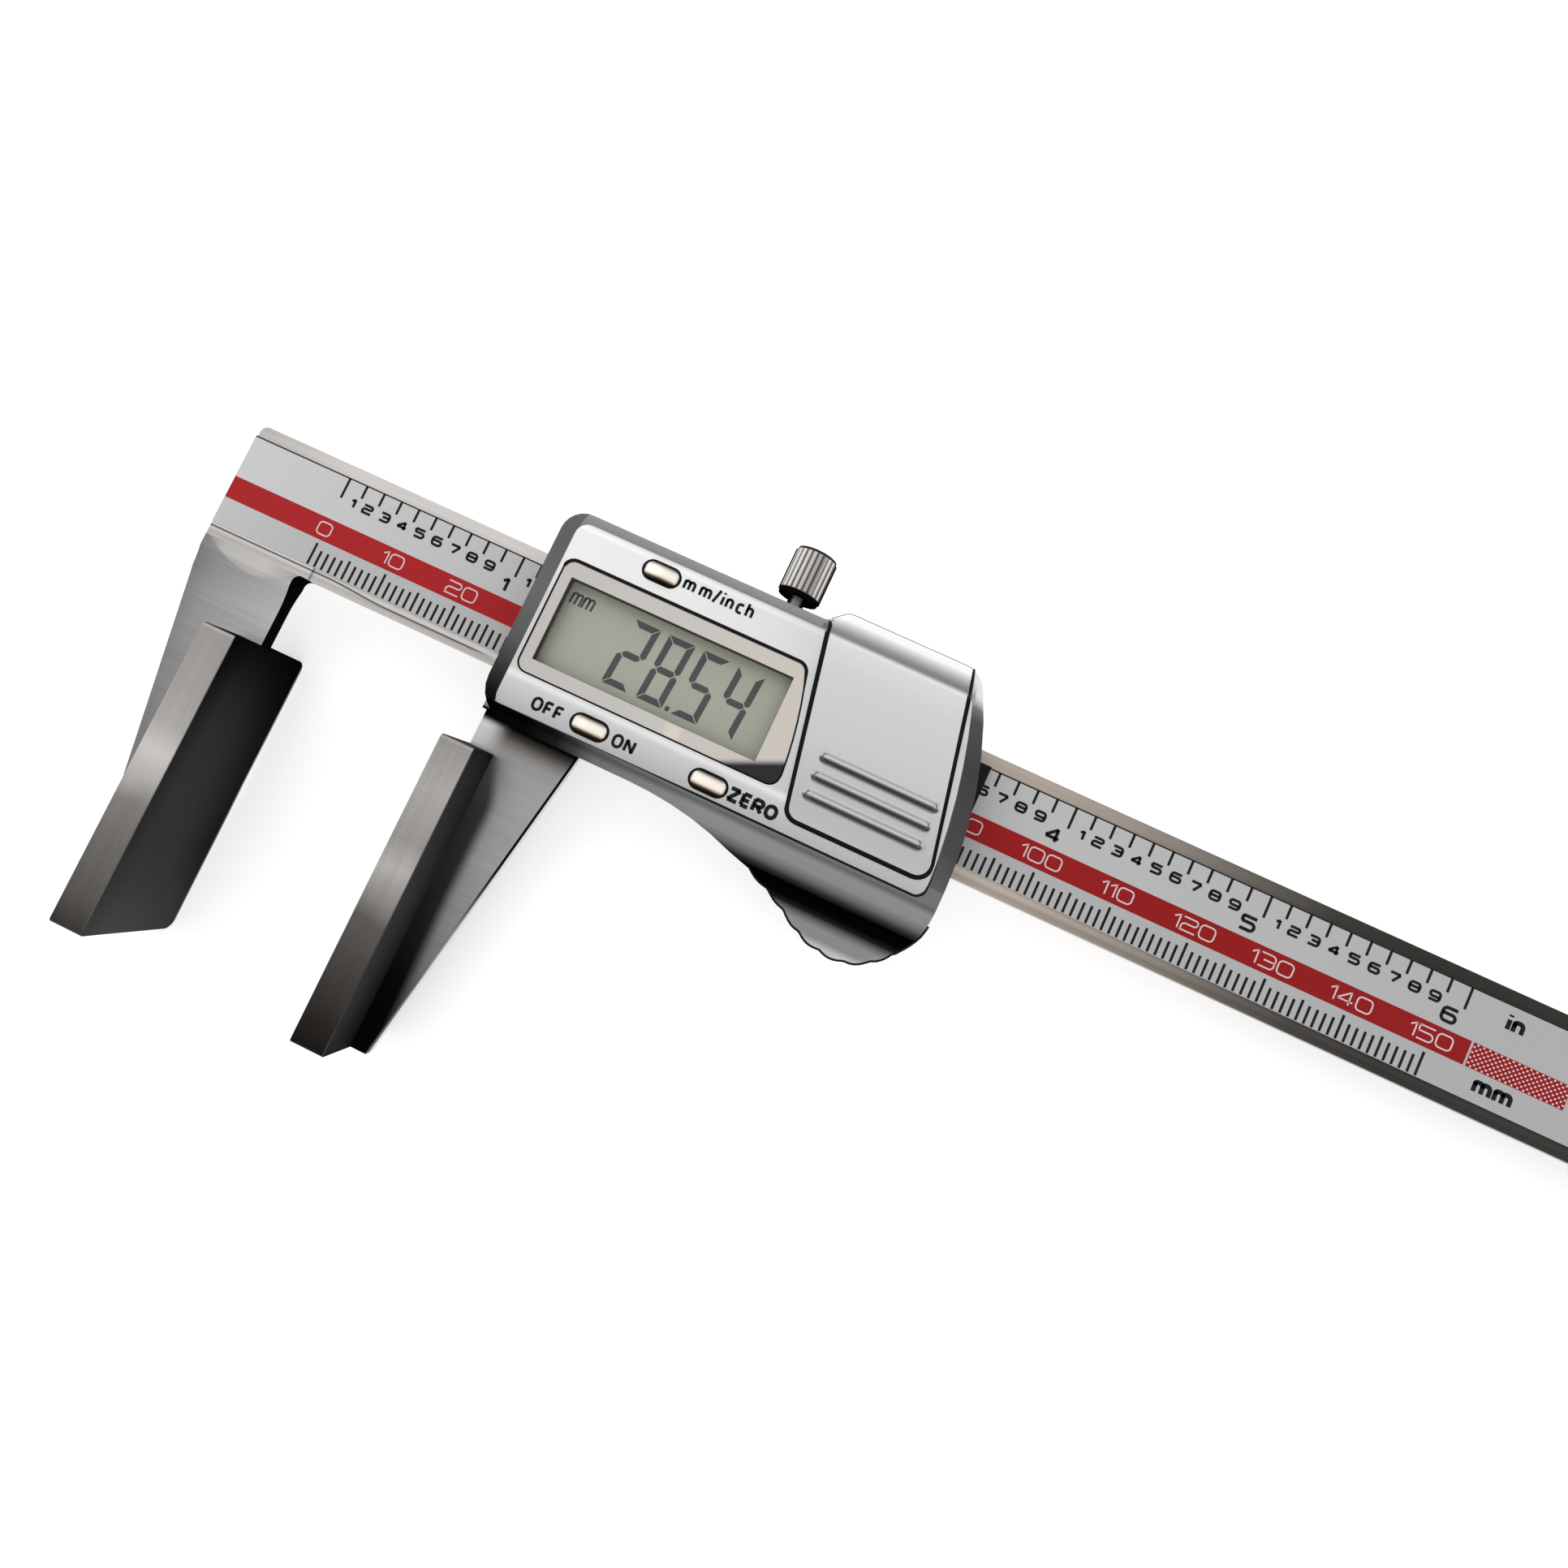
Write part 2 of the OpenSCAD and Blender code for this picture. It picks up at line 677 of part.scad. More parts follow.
module housing_screws() {
    color(dark_steel) on_slider() for (at = case_screws) translate([at[0], at[1], back_z + fit_gap]) {
        cylinder(r = case_head_r, h = case_head_t - fit_gap, $fn = 32);
        cylinder(r = case_screw_r, h = frame_z - back_z + case_screw_bite, $fn = 32);
    }
}

// Display

module bezel() {
    lap = window_lap + fit_gap;
    color(warm_silver) on_slider() difference() {
        slab(ledge_z, bezel_z) bezel_outline(0);
        block(lcd_x0, lcd_x0 + lcd_w, lcd_y0, lcd_y0 + lcd_h, 0, face_z + 1);
        block(lcd_x0 - lap, lcd_x0 + lcd_w + lap, lcd_y0 - lap, lcd_y0 + lcd_h + lap,
            0, ledge_z + window_t + fit_gap);
    }
}

module display_window() {
    lap = window_lap;
    color([0.85, 0.88, 0.86, 0.35]) on_slider()
        block(lcd_x0 - lap, lcd_x0 + lcd_w + lap, lcd_y0 - lap, lcd_y0 + lcd_h + lap,
            ledge_z, ledge_z + window_t);
}

module display_panel() {
    lap = panel_lap;
    color(lcd_grey) on_slider()
        block(lcd_x0 - lap, lcd_x0 + lcd_w + lap, lcd_y0 - lap, lcd_y0 + lcd_h + lap,
            panel_z - lcd_t, panel_z);
}

module contact_strips() {
    low = lcd_y0 - panel_lap + 0.2;
    high = lcd_y0 + lcd_h + panel_lap - 0.2 - strip_w;
    color(black) on_slider() for (y = [low, high])
        block(lcd_x0, lcd_x0 + lcd_w, y, y + strip_w, board_z, panel_z - lcd_t);
}

module circuit_board() {
    edge = house_x0 + wall + 0.2;
    color(board_green) on_slider() difference() {
        slab(frame_z, board_z) polygon([
            [edge, -house_down + wall + 0.2], [cell_at[0], -house_down + wall + 0.2],
            [cell_at[0], 0], [cell_at[0] - 9.6, house_up - wall - 0.2], [edge, house_up - wall - 0.2]
        ]);
        translate([cell_at[0], cell_at[1], 0]) cylinder(r = well_r + well_wall + 0.2, h = face_z, $fn = 64);
        for (at = case_screws) slab(0, face_z) boss(at, 0.2);
    }
}

module reading_head() {
    color(board_green) on_slider()
        block(window_x0 + 0.5, window_x1 - 0.5, -window_h + 0.5, window_h - 0.5,
            sheet_z + 1.5 * run_gap, frame_z);
}

// Rubber pad with one dome for each button that stands over it
module key_pad(at_list) {
    x0 = min([for (at = at_list) at[0]]) - 3;
    x1 = max([for (at = at_list) at[0]]) + 3;
    y = at_list[0][1];
    block(x0, x1, y - 1.5, y + 1.5, board_z, board_z + 0.6);
    for (at = at_list) translate([at[0], at[1], board_z])
        cylinder(r1 = key_r + 0.3, r2 = key_r, h = stem_z - board_z - 0.45, $fn = 40);
}

module upper_key_pad() {
    color(black) on_slider() key_pad([unit_at]);
}

module lower_key_pad() {
    color(black) on_slider() key_pad([power_at, zero_at]);
}

// Domed oval cap with a flange that keeps it behind the face
module button(at) {
    dome_r = (pow(button_l / 2, 2) + pow(button_up, 2)) / (2 * button_up);
    translate([at[0], at[1], 0]) {
        intersection() {
            slab(ceiling_z - flange_t, face_z + button_up + 1) stadium(button_l, button_w);
            translate([0, 0, face_z + button_up - dome_r]) rotate([90, 0, 0])
                cylinder(r = dome_r, h = 2 * button_w, center = true, $fn = 128);
        }
        slab(ceiling_z - fit_gap - flange_t, ceiling_z - fit_gap)
            stadium(button_l + 2 * flange, button_w + 2 * flange);
        translate([0, 0, stem_z]) cylinder(r = key_r, h = ceiling_z - flange_t - stem_z, $fn = 40);
    }
}

module unit_button() {
    color(gold) on_slider() button(unit_at);
}

module power_button() {
    color(gold) on_slider() button(power_at);
}

module zero_button() {
    color(gold) on_slider() button(zero_at);
}

// Battery

module button_cell() {
    rim = cell_d / 2 - 0.7;
    color(silver) on_slider() translate([cell_at[0], cell_at[1], cell_z]) {
        cylinder(r = rim, h = 0.5, $fn = 96);
        translate([0, 0, 0.5]) cylinder(r = cell_d / 2, h = cell_t - 0.5, $fn = 96);
    }
}

module positive_contact() {
    inner = cell_d / 2 + fit_gap;
    color(gold) on_slider() translate([cell_at[0], cell_at[1], frame_z + contact_up])
        rotate([0, 0, 150]) rotate_extrude(angle = 60, $fn = 96)
            translate([inner, 0]) square([contact_t, contact_w]);
}

module negative_contact() {
    color(gold) on_slider() translate([cell_at[0], cell_at[1], frame_z])
        cylinder(r = contact_r, h = cell_z - frame_z, $fn = 48);
}

module battery_cover() {
    color(silver) on_slider() {
        difference() {
            intersection() {
                translate([0, 0, cover_up]) housing_form();
                slab(lip_z, face_z + 3) cover_outline(0, far);
            }
            block(-far, 2 * far, -far, lip_y + seam_gap, -far, deck_z + fit_gap);
        }
        slab(deck_z + run_gap, deck_z + run_gap + tongue_t) polygon([
            [cover_edge(cover_low + tongue_low) - tongue_w, cover_low + tongue_low],
            [cover_edge(cover_low + tongue_low) + cover_w + tongue_w, cover_low + tongue_low],
            [cover_edge(tongue_up) + cover_w + tongue_w, tongue_up],
            [cover_edge(tongue_up) - tongue_w, tongue_up]
        ]);
        for (y = [-1.9, -4.25, -6.6]) cover_ridge(y);
    }
}

// Bar with round ends across the cover, half sunk in its face
module cover_ridge(y) {
    r = ridge_w / 2;
    x0 = cover_edge(y) + 3.05;
    l = cover_w - 4.8;
    translate([x0, y, face_z + cover_up]) rotate([0, 90, 0]) rotate_extrude($fn = 40)
        polygon(concat(arc([0, 0], r, -90, 0, 5), arc([0, l], r, 0, 90, 5)));
}

// Lock screw

module lock_pad() {
    y0 = half_w + run_gap + gib_t + fit_gap;
    color(gold) on_slider() along_y([lock_x, 0], y0, y0 + pad_t, lock_r - 0.05);
}

module lock_screw() {
    y0 = half_w + run_gap + gib_t + 2 * fit_gap + pad_t;
    head_y = frame_up + lock_gap;
    tooth = PI * knob_d / knurl_count * 0.55;
    color(dark_steel) on_slider() {
        along_y([lock_x, 0], y0, frame_up + 0.6, lock_r);
        along_y([lock_x, 0], frame_up + 0.5, head_y + 1, lock_r - 0.4);
        along_y([lock_x, 0], head_y, head_y + knob_l, knob_d / 2 - 0.2);
        for (i = [0:knurl_count - 1]) translate([lock_x, 0, 0]) rotate([0, 360 * i / knurl_count, 0])
            block(-tooth / 2, tooth / 2, head_y + 0.4, head_y + knob_l - 0.4, knob_d / 2 - 0.5, knob_d / 2);
    }
}

beam();
fixed_plate();
scale_sheet();
end_stop();
end_stop_screws();
slider_frame();
moving_plate();
back_plate();
back_plate_screws();
gib_strip();
gib_screws();
housing();
housing_screws();
bezel();
display_window();
display_panel();
contact_strips();
circuit_board();
reading_head();
upper_key_pad();
lower_key_pad();
unit_button();
power_button();
zero_button();
button_cell();
positive_contact();
negative_contact();
battery_cover();
rear_wiper();
lock_pad();
lock_screw();
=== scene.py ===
"""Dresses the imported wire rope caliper: finishes, the printed scale, the display and the studio."""

import logging
import math
from abc import ABC, abstractmethod
from dataclasses import dataclass, field
from enum import Enum
from typing import Callable, Iterable, Optional, Sequence, Union

import bmesh
import bpy
from mathutils import Matrix, Vector


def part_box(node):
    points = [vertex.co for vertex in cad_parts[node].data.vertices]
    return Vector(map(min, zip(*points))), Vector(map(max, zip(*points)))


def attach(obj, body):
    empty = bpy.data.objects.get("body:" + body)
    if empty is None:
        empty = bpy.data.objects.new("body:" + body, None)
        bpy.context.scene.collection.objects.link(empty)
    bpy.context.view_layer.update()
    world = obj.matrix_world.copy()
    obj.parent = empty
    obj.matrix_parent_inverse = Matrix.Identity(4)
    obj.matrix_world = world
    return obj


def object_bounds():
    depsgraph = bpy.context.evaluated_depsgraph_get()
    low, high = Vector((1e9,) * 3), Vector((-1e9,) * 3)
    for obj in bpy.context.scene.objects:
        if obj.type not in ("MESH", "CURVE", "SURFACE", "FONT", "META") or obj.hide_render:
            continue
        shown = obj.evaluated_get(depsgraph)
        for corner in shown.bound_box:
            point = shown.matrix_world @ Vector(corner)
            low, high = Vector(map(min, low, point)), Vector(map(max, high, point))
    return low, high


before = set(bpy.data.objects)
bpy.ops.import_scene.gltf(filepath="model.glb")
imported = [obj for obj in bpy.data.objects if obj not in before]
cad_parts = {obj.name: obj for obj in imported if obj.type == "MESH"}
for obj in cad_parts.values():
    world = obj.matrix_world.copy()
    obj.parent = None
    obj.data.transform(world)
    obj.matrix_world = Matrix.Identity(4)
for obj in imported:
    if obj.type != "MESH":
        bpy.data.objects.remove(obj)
CAD_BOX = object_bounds()

LOG = logging.getLogger("caliper")
MM = 0.001

Point = tuple[float, float]
Colour = tuple[float, float, float]
# The points of a path, flat or with their heights, and whether it is closed
Path = tuple[list[Sequence[float]], bool]
# Both ends of an edge and its outward direction, flat
Edge = tuple[Vector, Vector, Vector]
Operand = Union["Value", float]
Tone = Union["Value", Colour]


def srgb(red: int, green: int, blue: int) -> Colour:
    """Linear colour of a screen colour given in 0 to 255."""

    def linear(level: int) -> float:
        """Linear share of one screen level."""
        share = level / 255
        return share / 12.92 if share <= 0.04045 else ((share + 0.055) / 1.055) ** 2.4

    return linear(red), linear(green), linear(blue)


def grey(level: int, warm: int = 0) -> Colour:
    """Linear grey of one screen level, warmer by a few levels of red against blue."""
    return srgb(level + warm // 2, level, level - warm // 2)


class Body(Enum):
    """Rigid bodies that the visual pieces ride on."""

    BEAM = "beam_body"
    SLIDER = "slider"
    COVER = "cover"


class Axis(Enum):
    """Direction of a grinding or brushing mark."""

    ALONG_X = (0.02, 1.0, 1.0)
    ALONG_Y = (1.0, 0.02, 1.0)


# Places that come from the CAD parts in model.glb, in millimetres


def corners(node: str) -> tuple[Vector, Vector]:
    """Lowest and highest corner of a CAD node, in millimetres."""
    low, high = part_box(node)
    return low / MM, high / MM


SLIDER_X: float = corners("moving_plate")[0].x
BEAM_Y: float = sum(c.y for c in corners("scale_sheet")) / 2
FACE_Z: float = corners("bezel")[1].z + 0.05


# Shader maths


class Value:
    """A shader socket that adds Math nodes when it is used in an expression."""

    def __init__(self, graph: "Graph", socket: bpy.types.NodeSocket) -> None:
        """Wraps one output socket of a graph."""
        self.graph = graph
        self.socket = socket

    def __add__(self, other: Operand) -> "Value":
        """Sum."""
        return self.graph.math("ADD", self, other)

    def __sub__(self, other: Operand) -> "Value":
        """Difference."""
        return self.graph.math("SUBTRACT", self, other)

    def __mul__(self, other: Operand) -> "Value":
        """Product."""
        return self.graph.math("MULTIPLY", self, other)

    def __radd__(self, other: float) -> "Value":
        """Sum with a plain number on the left."""
        return self.graph.math("ADD", other, self)

    def __rsub__(self, other: float) -> "Value":
        """Difference from a plain number."""
        return self.graph.math("SUBTRACT", other, self)

    def __rmul__(self, other: float) -> "Value":
        """Product with a plain number on the left."""
        return self.graph.math("MULTIPLY", other, self)

    def __abs__(self) -> "Value":
        """Size without the sign."""
        return self.graph.math("ABSOLUTE", self)


class Graph:
    """Node tree of one material or world, with short ways to add its nodes."""

    def __init__(self, name: str, world: bool = False) -> None:
        """Makes an empty material or world.

        Args:
            name: its name.
            world: whether it is a world.
        """
        self.owner = (bpy.data.worlds if world else bpy.data.materials).new(name)
        self.owner.use_nodes = True
        self.tree = self.owner.node_tree
        self.tree.nodes.clear()

    def node(
        self, kind: str, settings: Optional[dict] = None, inputs: Optional[dict] = None,
        out: Union[int, str] = 0,
    ) -> Value:
        """Adds one node.

        Args:
            kind: Blender's type name of the node.
            settings: properties that are set before any input.
            inputs: numbers, colours or values for its sockets, by name or index.
            out: the output to return.

        Returns:
            The chosen output.
        """
        made = self.tree.nodes.new(kind)
        for key, setting in (settings or {}).items():
            setattr(made, key, setting)
        for key, given in (inputs or {}).items():
            self.feed(made.inputs[key], given)
        return Value(self, made.outputs[out])

    def feed(self, socket: bpy.types.NodeSocket, given: Union[Value, float, Sequence[float]]) -> None:
        """Links a value to a socket, or sets the socket's own number or colour."""
        if isinstance(given, Value):
            self.tree.links.new(given.socket, socket)
        elif isinstance(given, tuple) and socket.type == "RGBA":
            socket.default_value = (*given, 1.0)
        else:
            socket.default_value = given

    def math(self, operation: str, a: Operand, b: Operand = 0.0) -> Value:
        """One Math node."""
        return self.node("ShaderNodeMath", {"operation": operation}, {0: a, 1: b})

    def mix(self, share: Operand, a: Tone, b: Tone, blend: str = "MIX") -> Value:
        """Mixes two colours, from a at share 0 to b at share 1."""
        settings = {"data_type": "RGBA", "blend_type": blend, "clamp_result": True}
        return self.node("ShaderNodeMix", settings, {0: share, 6: a, 7: b}, 2)

    def times(self, a: Tone, b: Tone) -> Value:
        """One colour times another."""
        return self.mix(1.0, a, b, "MULTIPLY")

    def distance(self, a: Value, b: Value) -> Value:
        """Length of a flat way that goes a along one axis and b along the other."""
        return self.math("SQRT", a * a + b * b)

    def place(self) -> tuple[Value, Value, Value]:
        """Object coordinates in millimetres."""
        coords = self.node("ShaderNodeTexCoord", out="Object")
        split = self.node("ShaderNodeSeparateXYZ", inputs={0: coords})
        x, y, z = (Value(self, output) * (1 / MM) for output in split.socket.node.outputs)
        return x, y, z

    def step(self, value: Value, low: float, high: float) -> Value:
        """Smooth step from 0 at low to 1 at high. The two may run either way."""
        swap = low > high
        first, last = (high, low) if swap else (low, high)
        to = (1.0, 0.0) if swap else (0.0, 1.0)
        settings = {"interpolation_type": "SMOOTHSTEP"}
        inputs = {"Value": value, "From Min": first, "From Max": last, "To Min": to[0], "To Max": to[1]}
        return self.node("ShaderNodeMapRange", settings, inputs)

    def ramp(self, value: Value, *stops: tuple[float, Colour]) -> Value:
        """Colour that runs through stops along a value.

        Args:
            value: a place in millimetres, or any other value.
            stops: place and colour of each stop, in rising order of place.

        Returns:
            The colour, held beyond the first and the last stop.
        """
        low, high = stops[0][0], stops[-1][0]
        share = self.node("ShaderNodeMapRange", inputs={"Value": value, "From Min": low, "From Max": high})
        ramp = self.node("ShaderNodeValToRGB", inputs={"Fac": share})
        elements = ramp.socket.node.color_ramp.elements
        elements[0].color = (*stops[0][1], 1)
        elements[-1].color = (*stops[-1][1], 1)
        for place, colour in stops[1:-1]:
            elements.new((place - low) / (high - low)).color = (*colour, 1)
        return ramp

    def greys(self, value: Value, *stops: Sequence[float]) -> Value:
        """Ramp of greys. Each stop is a place, a screen level and, where it is tinted, its warmth."""
        return self.ramp(value, *((place, grey(*tone)) for place, *tone in stops))

    def noise(self, scale: float, stretch: Sequence[float] = (1, 1, 1), detail: float = 3.0) -> Value:
        """Noise from 0 to 1 on Object coordinates.

        Args:
            scale: cells in each metre.
            stretch: share of the scale along each axis.
            detail: octaves of finer noise.
        """
        coords = self.node("ShaderNodeTexCoord", out="Object")
        mapped = self.node("ShaderNodeMapping", inputs={"Vector": coords, "Scale": tuple(stretch)})
        return self.node("ShaderNodeTexNoise", inputs={"Vector": mapped, "Scale": scale, "Detail": detail})

    def light(self, tone: Tone) -> Value:
        """1 where a tone is light, falling to 0 where it is near black."""
        return self.step(self.node("ShaderNodeRGBToBW", inputs={"Color": tone}), 0.02, 0.3)

    def deep(self, tone: Tone) -> Value:
        """1 where a tone is as good as black, falling to 0 where it is dark grey."""
        return self.step(self.node("ShaderNodeRGBToBW", inputs={"Color": tone}), 0.018, 0.004)

    def bump(self, height: Value, strength: float, distance: float) -> Value:
        """Bump from a height."""
        inputs = {"Strength": strength, "Distance": distance, "Height": height}
        return self.node("ShaderNodeBump", inputs=inputs, out="Normal")

    def close(
        self, dull: Optional[Value] = None, **sockets: Union[Value, float, Sequence[float]]
    ) -> bpy.types.Material:
        """Adds the Principled shader and the output.

        Args:
            dull: share of the surface, where given, that reflects nothing.
            sockets: socket names with underscores for spaces.

        Returns:
            The finished material.
        """
        named = {key.replace("_", " "): given for key, given in sockets.items()}
        named.setdefault("Specular IOR Level", 0.1)
        shader = self.node("ShaderNodeBsdfPrincipled", inputs=named)
        if dull is not None:
            flat = {"Base Color": named["Base Color"], "Roughness": 1.0, "Specular IOR Level": 0.0}
            plain = self.node("ShaderNodeBsdfPrincipled", inputs=flat)
            shader = self.node("ShaderNodeMixShader", inputs={0: dull, 1: shader, 2: plain})
        return self.finish(shader, "ShaderNodeOutputMaterial")

    def finish(self, shader: Value, kind: str) -> Union[bpy.types.Material, bpy.types.World]:
        """Links the shader to an output of the given kind and returns what holds the tree."""
        made = self.tree.nodes.new(kind)
        self.tree.links.new(shader.socket, made.inputs["Surface"])
        return self.owner


# Finishes


@dataclass(frozen=True)
class Finish(ABC):
    """One procedural finish."""

    name: str

    @abstractmethod
    def build(self) -> bpy.types.Material:
        """Makes the material."""

    @property
    def label(self) -> str:
        """Name of the material, apart from the names that model.glb brings."""
        return f"{self.name}_look"

    def material(self) -> bpy.types.Material:
        """The material, made once."""
        return bpy.data.materials.get(self.label) or self.build()


@dataclass(frozen=True)
class GroundSteel(Finish):
    """Bare steel with grinding marks."""

    tone: Colour = grey(160, 4)
    marks: Axis = Axis.ALONG_X
    contrast: float = 0.06
    roughness: float = 0.36
    metallic: float = 0.5

    def base(self, graph: Graph) -> Tone:
        """Colour of the steel before the marks."""
        return self.tone

    def build(self) -> bpy.types.Material:
        """Streaks in colour, roughness and bump, with a faint cloudiness."""
        graph = Graph(self.label)
        streaks = graph.noise(2200.0, self.marks.value, 4.0)
        fine = graph.noise(9000.0, self.marks.value, 2.0)
        clouds = graph.noise(55.0, detail=2.0)
        share = graph.step(streaks * 0.65 + clouds * 0.35, 0.3, 0.7)
        low, high = 1 - self.contrast * 2, 1.0
        marks = graph.mix(share, (low, low, low), (high, high, high))
        rough = graph.step(fine, 0.2, 0.8) * 0.14 + (self.roughness - 0.06)
        normal = graph.bump(streaks + fine * 0.5, 0.08, 0.00004)
        tone = self.base(graph)
        metallic = graph.light(tone) * self.metallic
        colour = graph.times(tone, marks)
        dull = graph.deep(tone)
        return graph.close(dull, Base_Color=colour, Metallic=metallic, Roughness=rough, Normal=normal)


@dataclass(frozen=True)
class BeamSteel(GroundSteel):
    """Beam steel: rims with a painted reflection that darkens towards the free end, a ground jaw, and
    painted shade at its neck.
    """

    rim_top: float = -8.0
    groove_v: float = -7.18
    groove_drop: float = 0.45
    bend_x: float = -6.5
    bend_v: float = -10.8
    bend_curve: float = 0.045
    neck_x: float = 0.1
    neck_v: float = -9.0
    neck_r: float = 1.05

    def base(self, graph: Graph) -> Value:
        """The rims' painted reflection follows the beam, the jaw's painted sheen is lighter above a curved
        run-out, and the neck is painted dark as shade.
        """
        x, y, _ = graph.place()
        v = y - BEAM_Y
        # Painted reflection: the rims' tone darkens towards the free end.
        top_rim_reflection = graph.greys(
            x, (-14, 172, 8), (0, 190, 8), (26, 196, 6), (95, 170, 24), (105, 156, 22), (115, 134, 16),
            (125, 100, 12), (135, 60, 6), (146, 50, 6),
        )
        low_rim_reflection = graph.greys(
            x, (0.9, 206, 6), (26, 206, 8), (95, 190, 24), (105, 172, 22), (115, 154, 16),
            (125, 118, 16), (135, 80, 8), (146, 62, 6),
        )
        # Painted highlight along the lower rim beside the sheet, with a slightly darker strip below it.
        band = graph.greys(v, (-8, 234), (-7.4, 214), (-6.9, 252), (-6.3, 255))
        low_rim_reflection = graph.times(low_rim_reflection, band)
        # Painted shade: a dark line along the lower rim on the beam's left part, lower towards its left
        # end.
        dark_line_off = v - self.groove_v - graph.step(x, 12, 3) * self.groove_drop
        line = graph.step(abs(dark_line_off), 0.2, 0.04)
        low_rim_reflection = graph.mix(line * graph.step(x, 28, 24), low_rim_reflection, grey(96, 6))
        rims = graph.mix(graph.step(v, 0.1, -0.1), top_rim_reflection, low_rim_reflection)
        # Painted sheen on the jaw: tones across it, lighter towards the beam, and a painted highlight above
        # the curved run-out.
        jaw = graph.greys(x, (-14, 130, 3), (-11, 150, 4), (-7, 164, 5), (-1, 180, 3))
        top_light = graph.greys(y, (-20, 196), (4, 222), (18, 250), (26, 255))
        jaw = graph.times(jaw, top_light)
        bright = graph.greys(x, (-14, 144, 3), (-11, 180, 4), (-5, 186, 6), (-1, 162, 3))
        off = x - self.bend_x
        bend = off * off * self.bend_curve + (graph.noise(140.0) * 0.8 + self.bend_v)
        jaw = graph.mix(graph.step(v - bend, -0.15, 0.2), jaw, bright)
        colour = graph.mix(graph.step(v, self.rim_top - 0.05, self.rim_top + 0.05), jaw, rims)
        # Painted shade: the jaw's neck and its inner side below the neck are painted near black.
        reach = graph.distance(x - self.neck_x, v - self.neck_v)
        neck = graph.step(reach, self.neck_r, self.neck_r - 0.03)
        neck = neck * graph.step(x, self.neck_x + 0.02, self.neck_x)
        neck = neck + graph.step(x, -0.96, -0.93) * graph.step(v, self.neck_v + 0.1, self.neck_v)
        return graph.mix(graph.math("MINIMUM", neck, 1.0), colour, grey(12))


@dataclass(frozen=True)
class FrameSteel(GroundSteel):
    """Slider frame: painted shade darkens its blade towards the tip, beside the plate and on its cut edge.
    """

    edge_x: float = 14.2
    edge_y: float = -13.4
    edge_slope: float = 0.1741
    blade_top: float = -13.0

    def base(self, graph: Graph) -> Value:
        """Painted light and shade follow the blade's length, and its slanted edge is painted dark as shade
        above a painted reflection.
        """
        x, y, z = graph.place()
        u, v = x - SLIDER_X, y - BEAM_Y
        # Painted reflection and shade along the blade: darker towards the tip, with a painted shadow under
        # the housing at its top.
        blade = graph.greys(
            y, (-20, 66, 2), (-12, 106, 4), (-6, 134, 3), (0, 149, 2), (8, 166, 2), (18, 170, 2),
            (20, 166, 3), (21, 158, 4), (22, 132, 6), (23, 78, 10), (23.8, 18, 4), (24.3, 10),
        )
        # Painted shadow of the moving plate on the blade beside it, deepest towards the tip; it stops near
        # the blade's top.
        shade = graph.greys(y, (-14, 11), (-10, 17), (-2, 36, 3), (6, 52), (13, 64), (19, 96))
        beside = u + graph.step(y, 13.0, 21.0) * 2.3 - graph.step(y, 2.0, -14.0) * 0.45
        lit = graph.math("MAXIMUM", graph.step(beside, 6.15, 8.0), graph.step(y, 19.6, 20.2))
        blade = graph.mix(lit, shade, blade)
        # Painted highlight: a light patch at the top of the blade beside the plate.
        painted_glint = graph.step(u, 5.2, 1.9) * graph.step(y, 19.8, 20.4) * graph.step(y, 24.2, 23.2)
        blade = graph.mix(painted_glint, blade, grey(214, 2))
        blade = graph.mix(graph.step(v, self.blade_top - 0.2, self.blade_top + 0.2), blade, self.tone)
        # Painted shade on the upper part of the slanted cut edge's wall, and a painted light reflection on
        # its lower part.
        past = u - ((v - self.edge_y) * self.edge_slope + self.edge_x)
        edge = graph.step(past, -0.14, -0.06) * graph.step(v, -13.3, -13.5)
        wall = graph.greys(y, (-16, 40), (-10, 80), (-6, 118), (-2, 116), (3, 30), (8, 12))
        wall = graph.mix(graph.step(z, 0.2, -0.1), wall, grey(226))
        return graph.mix(edge, blade, wall)


@dataclass(frozen=True)
class PlateSteel(Finish):
    """Measuring plate: painted dark reflection on its sides, and a ground front and back edge with one
    painted highlight zone.
    """

    # Tones of the painted highlight along the ground edge and of the painted dark reflection on the sides,
    # by place along the plate.
    front: tuple[tuple[float, int], ...] = ()
    side: tuple[tuple[float, int], ...] = (
        (-20, 58), (-16, 50), (-12, 42), (-8, 38), (0, 37), (8, 33), (12, 29), (20, 15)
    )
    edge_z: float = 7.6
    lip: int = 214

    def build(self) -> bpy.types.Material:
        """The ground edge is masked by height, and its painted highlight follows the length of the plate.
        """
        graph = Graph(self.label)
        _, y, z = graph.place()
        streaks = graph.noise(2600.0, Axis.ALONG_Y.value, 4.0)
        clouds = graph.noise(90.0, detail=2.0)
        reach = abs(z)
        ground = graph.step(reach, self.edge_z, self.edge_z + 0.3)
        # Painted highlight on the ground edge, brightest in one zone along the plate.
        edge_sheen = graph.greys(y + (clouds - 0.5) * 4.0, *((at, level, 6) for at, level in self.front))
        marks = graph.mix(graph.step(streaks, 0.3, 0.7), grey(244), grey(255))
        edge_sheen = graph.times(edge_sheen, marks)
        # Painted dark reflection and shade on the sides, darker towards the back.
        dark = graph.greys(y, *self.side)
        deep = graph.greys(z, (-8, 170), (0, 240), (4, 255), (self.edge_z, self.lip))
        dark = graph.times(dark, deep)
        return graph.close(
            graph.deep(dark) * (1.0 - ground),
            Base_Color=graph.mix(ground, dark, edge_sheen),
            Metallic=ground * 0.5,
            Roughness=0.5 - ground * 0.12 + streaks * 0.08,
            Normal=graph.bump(streaks, 0.06, 0.00004),
        )


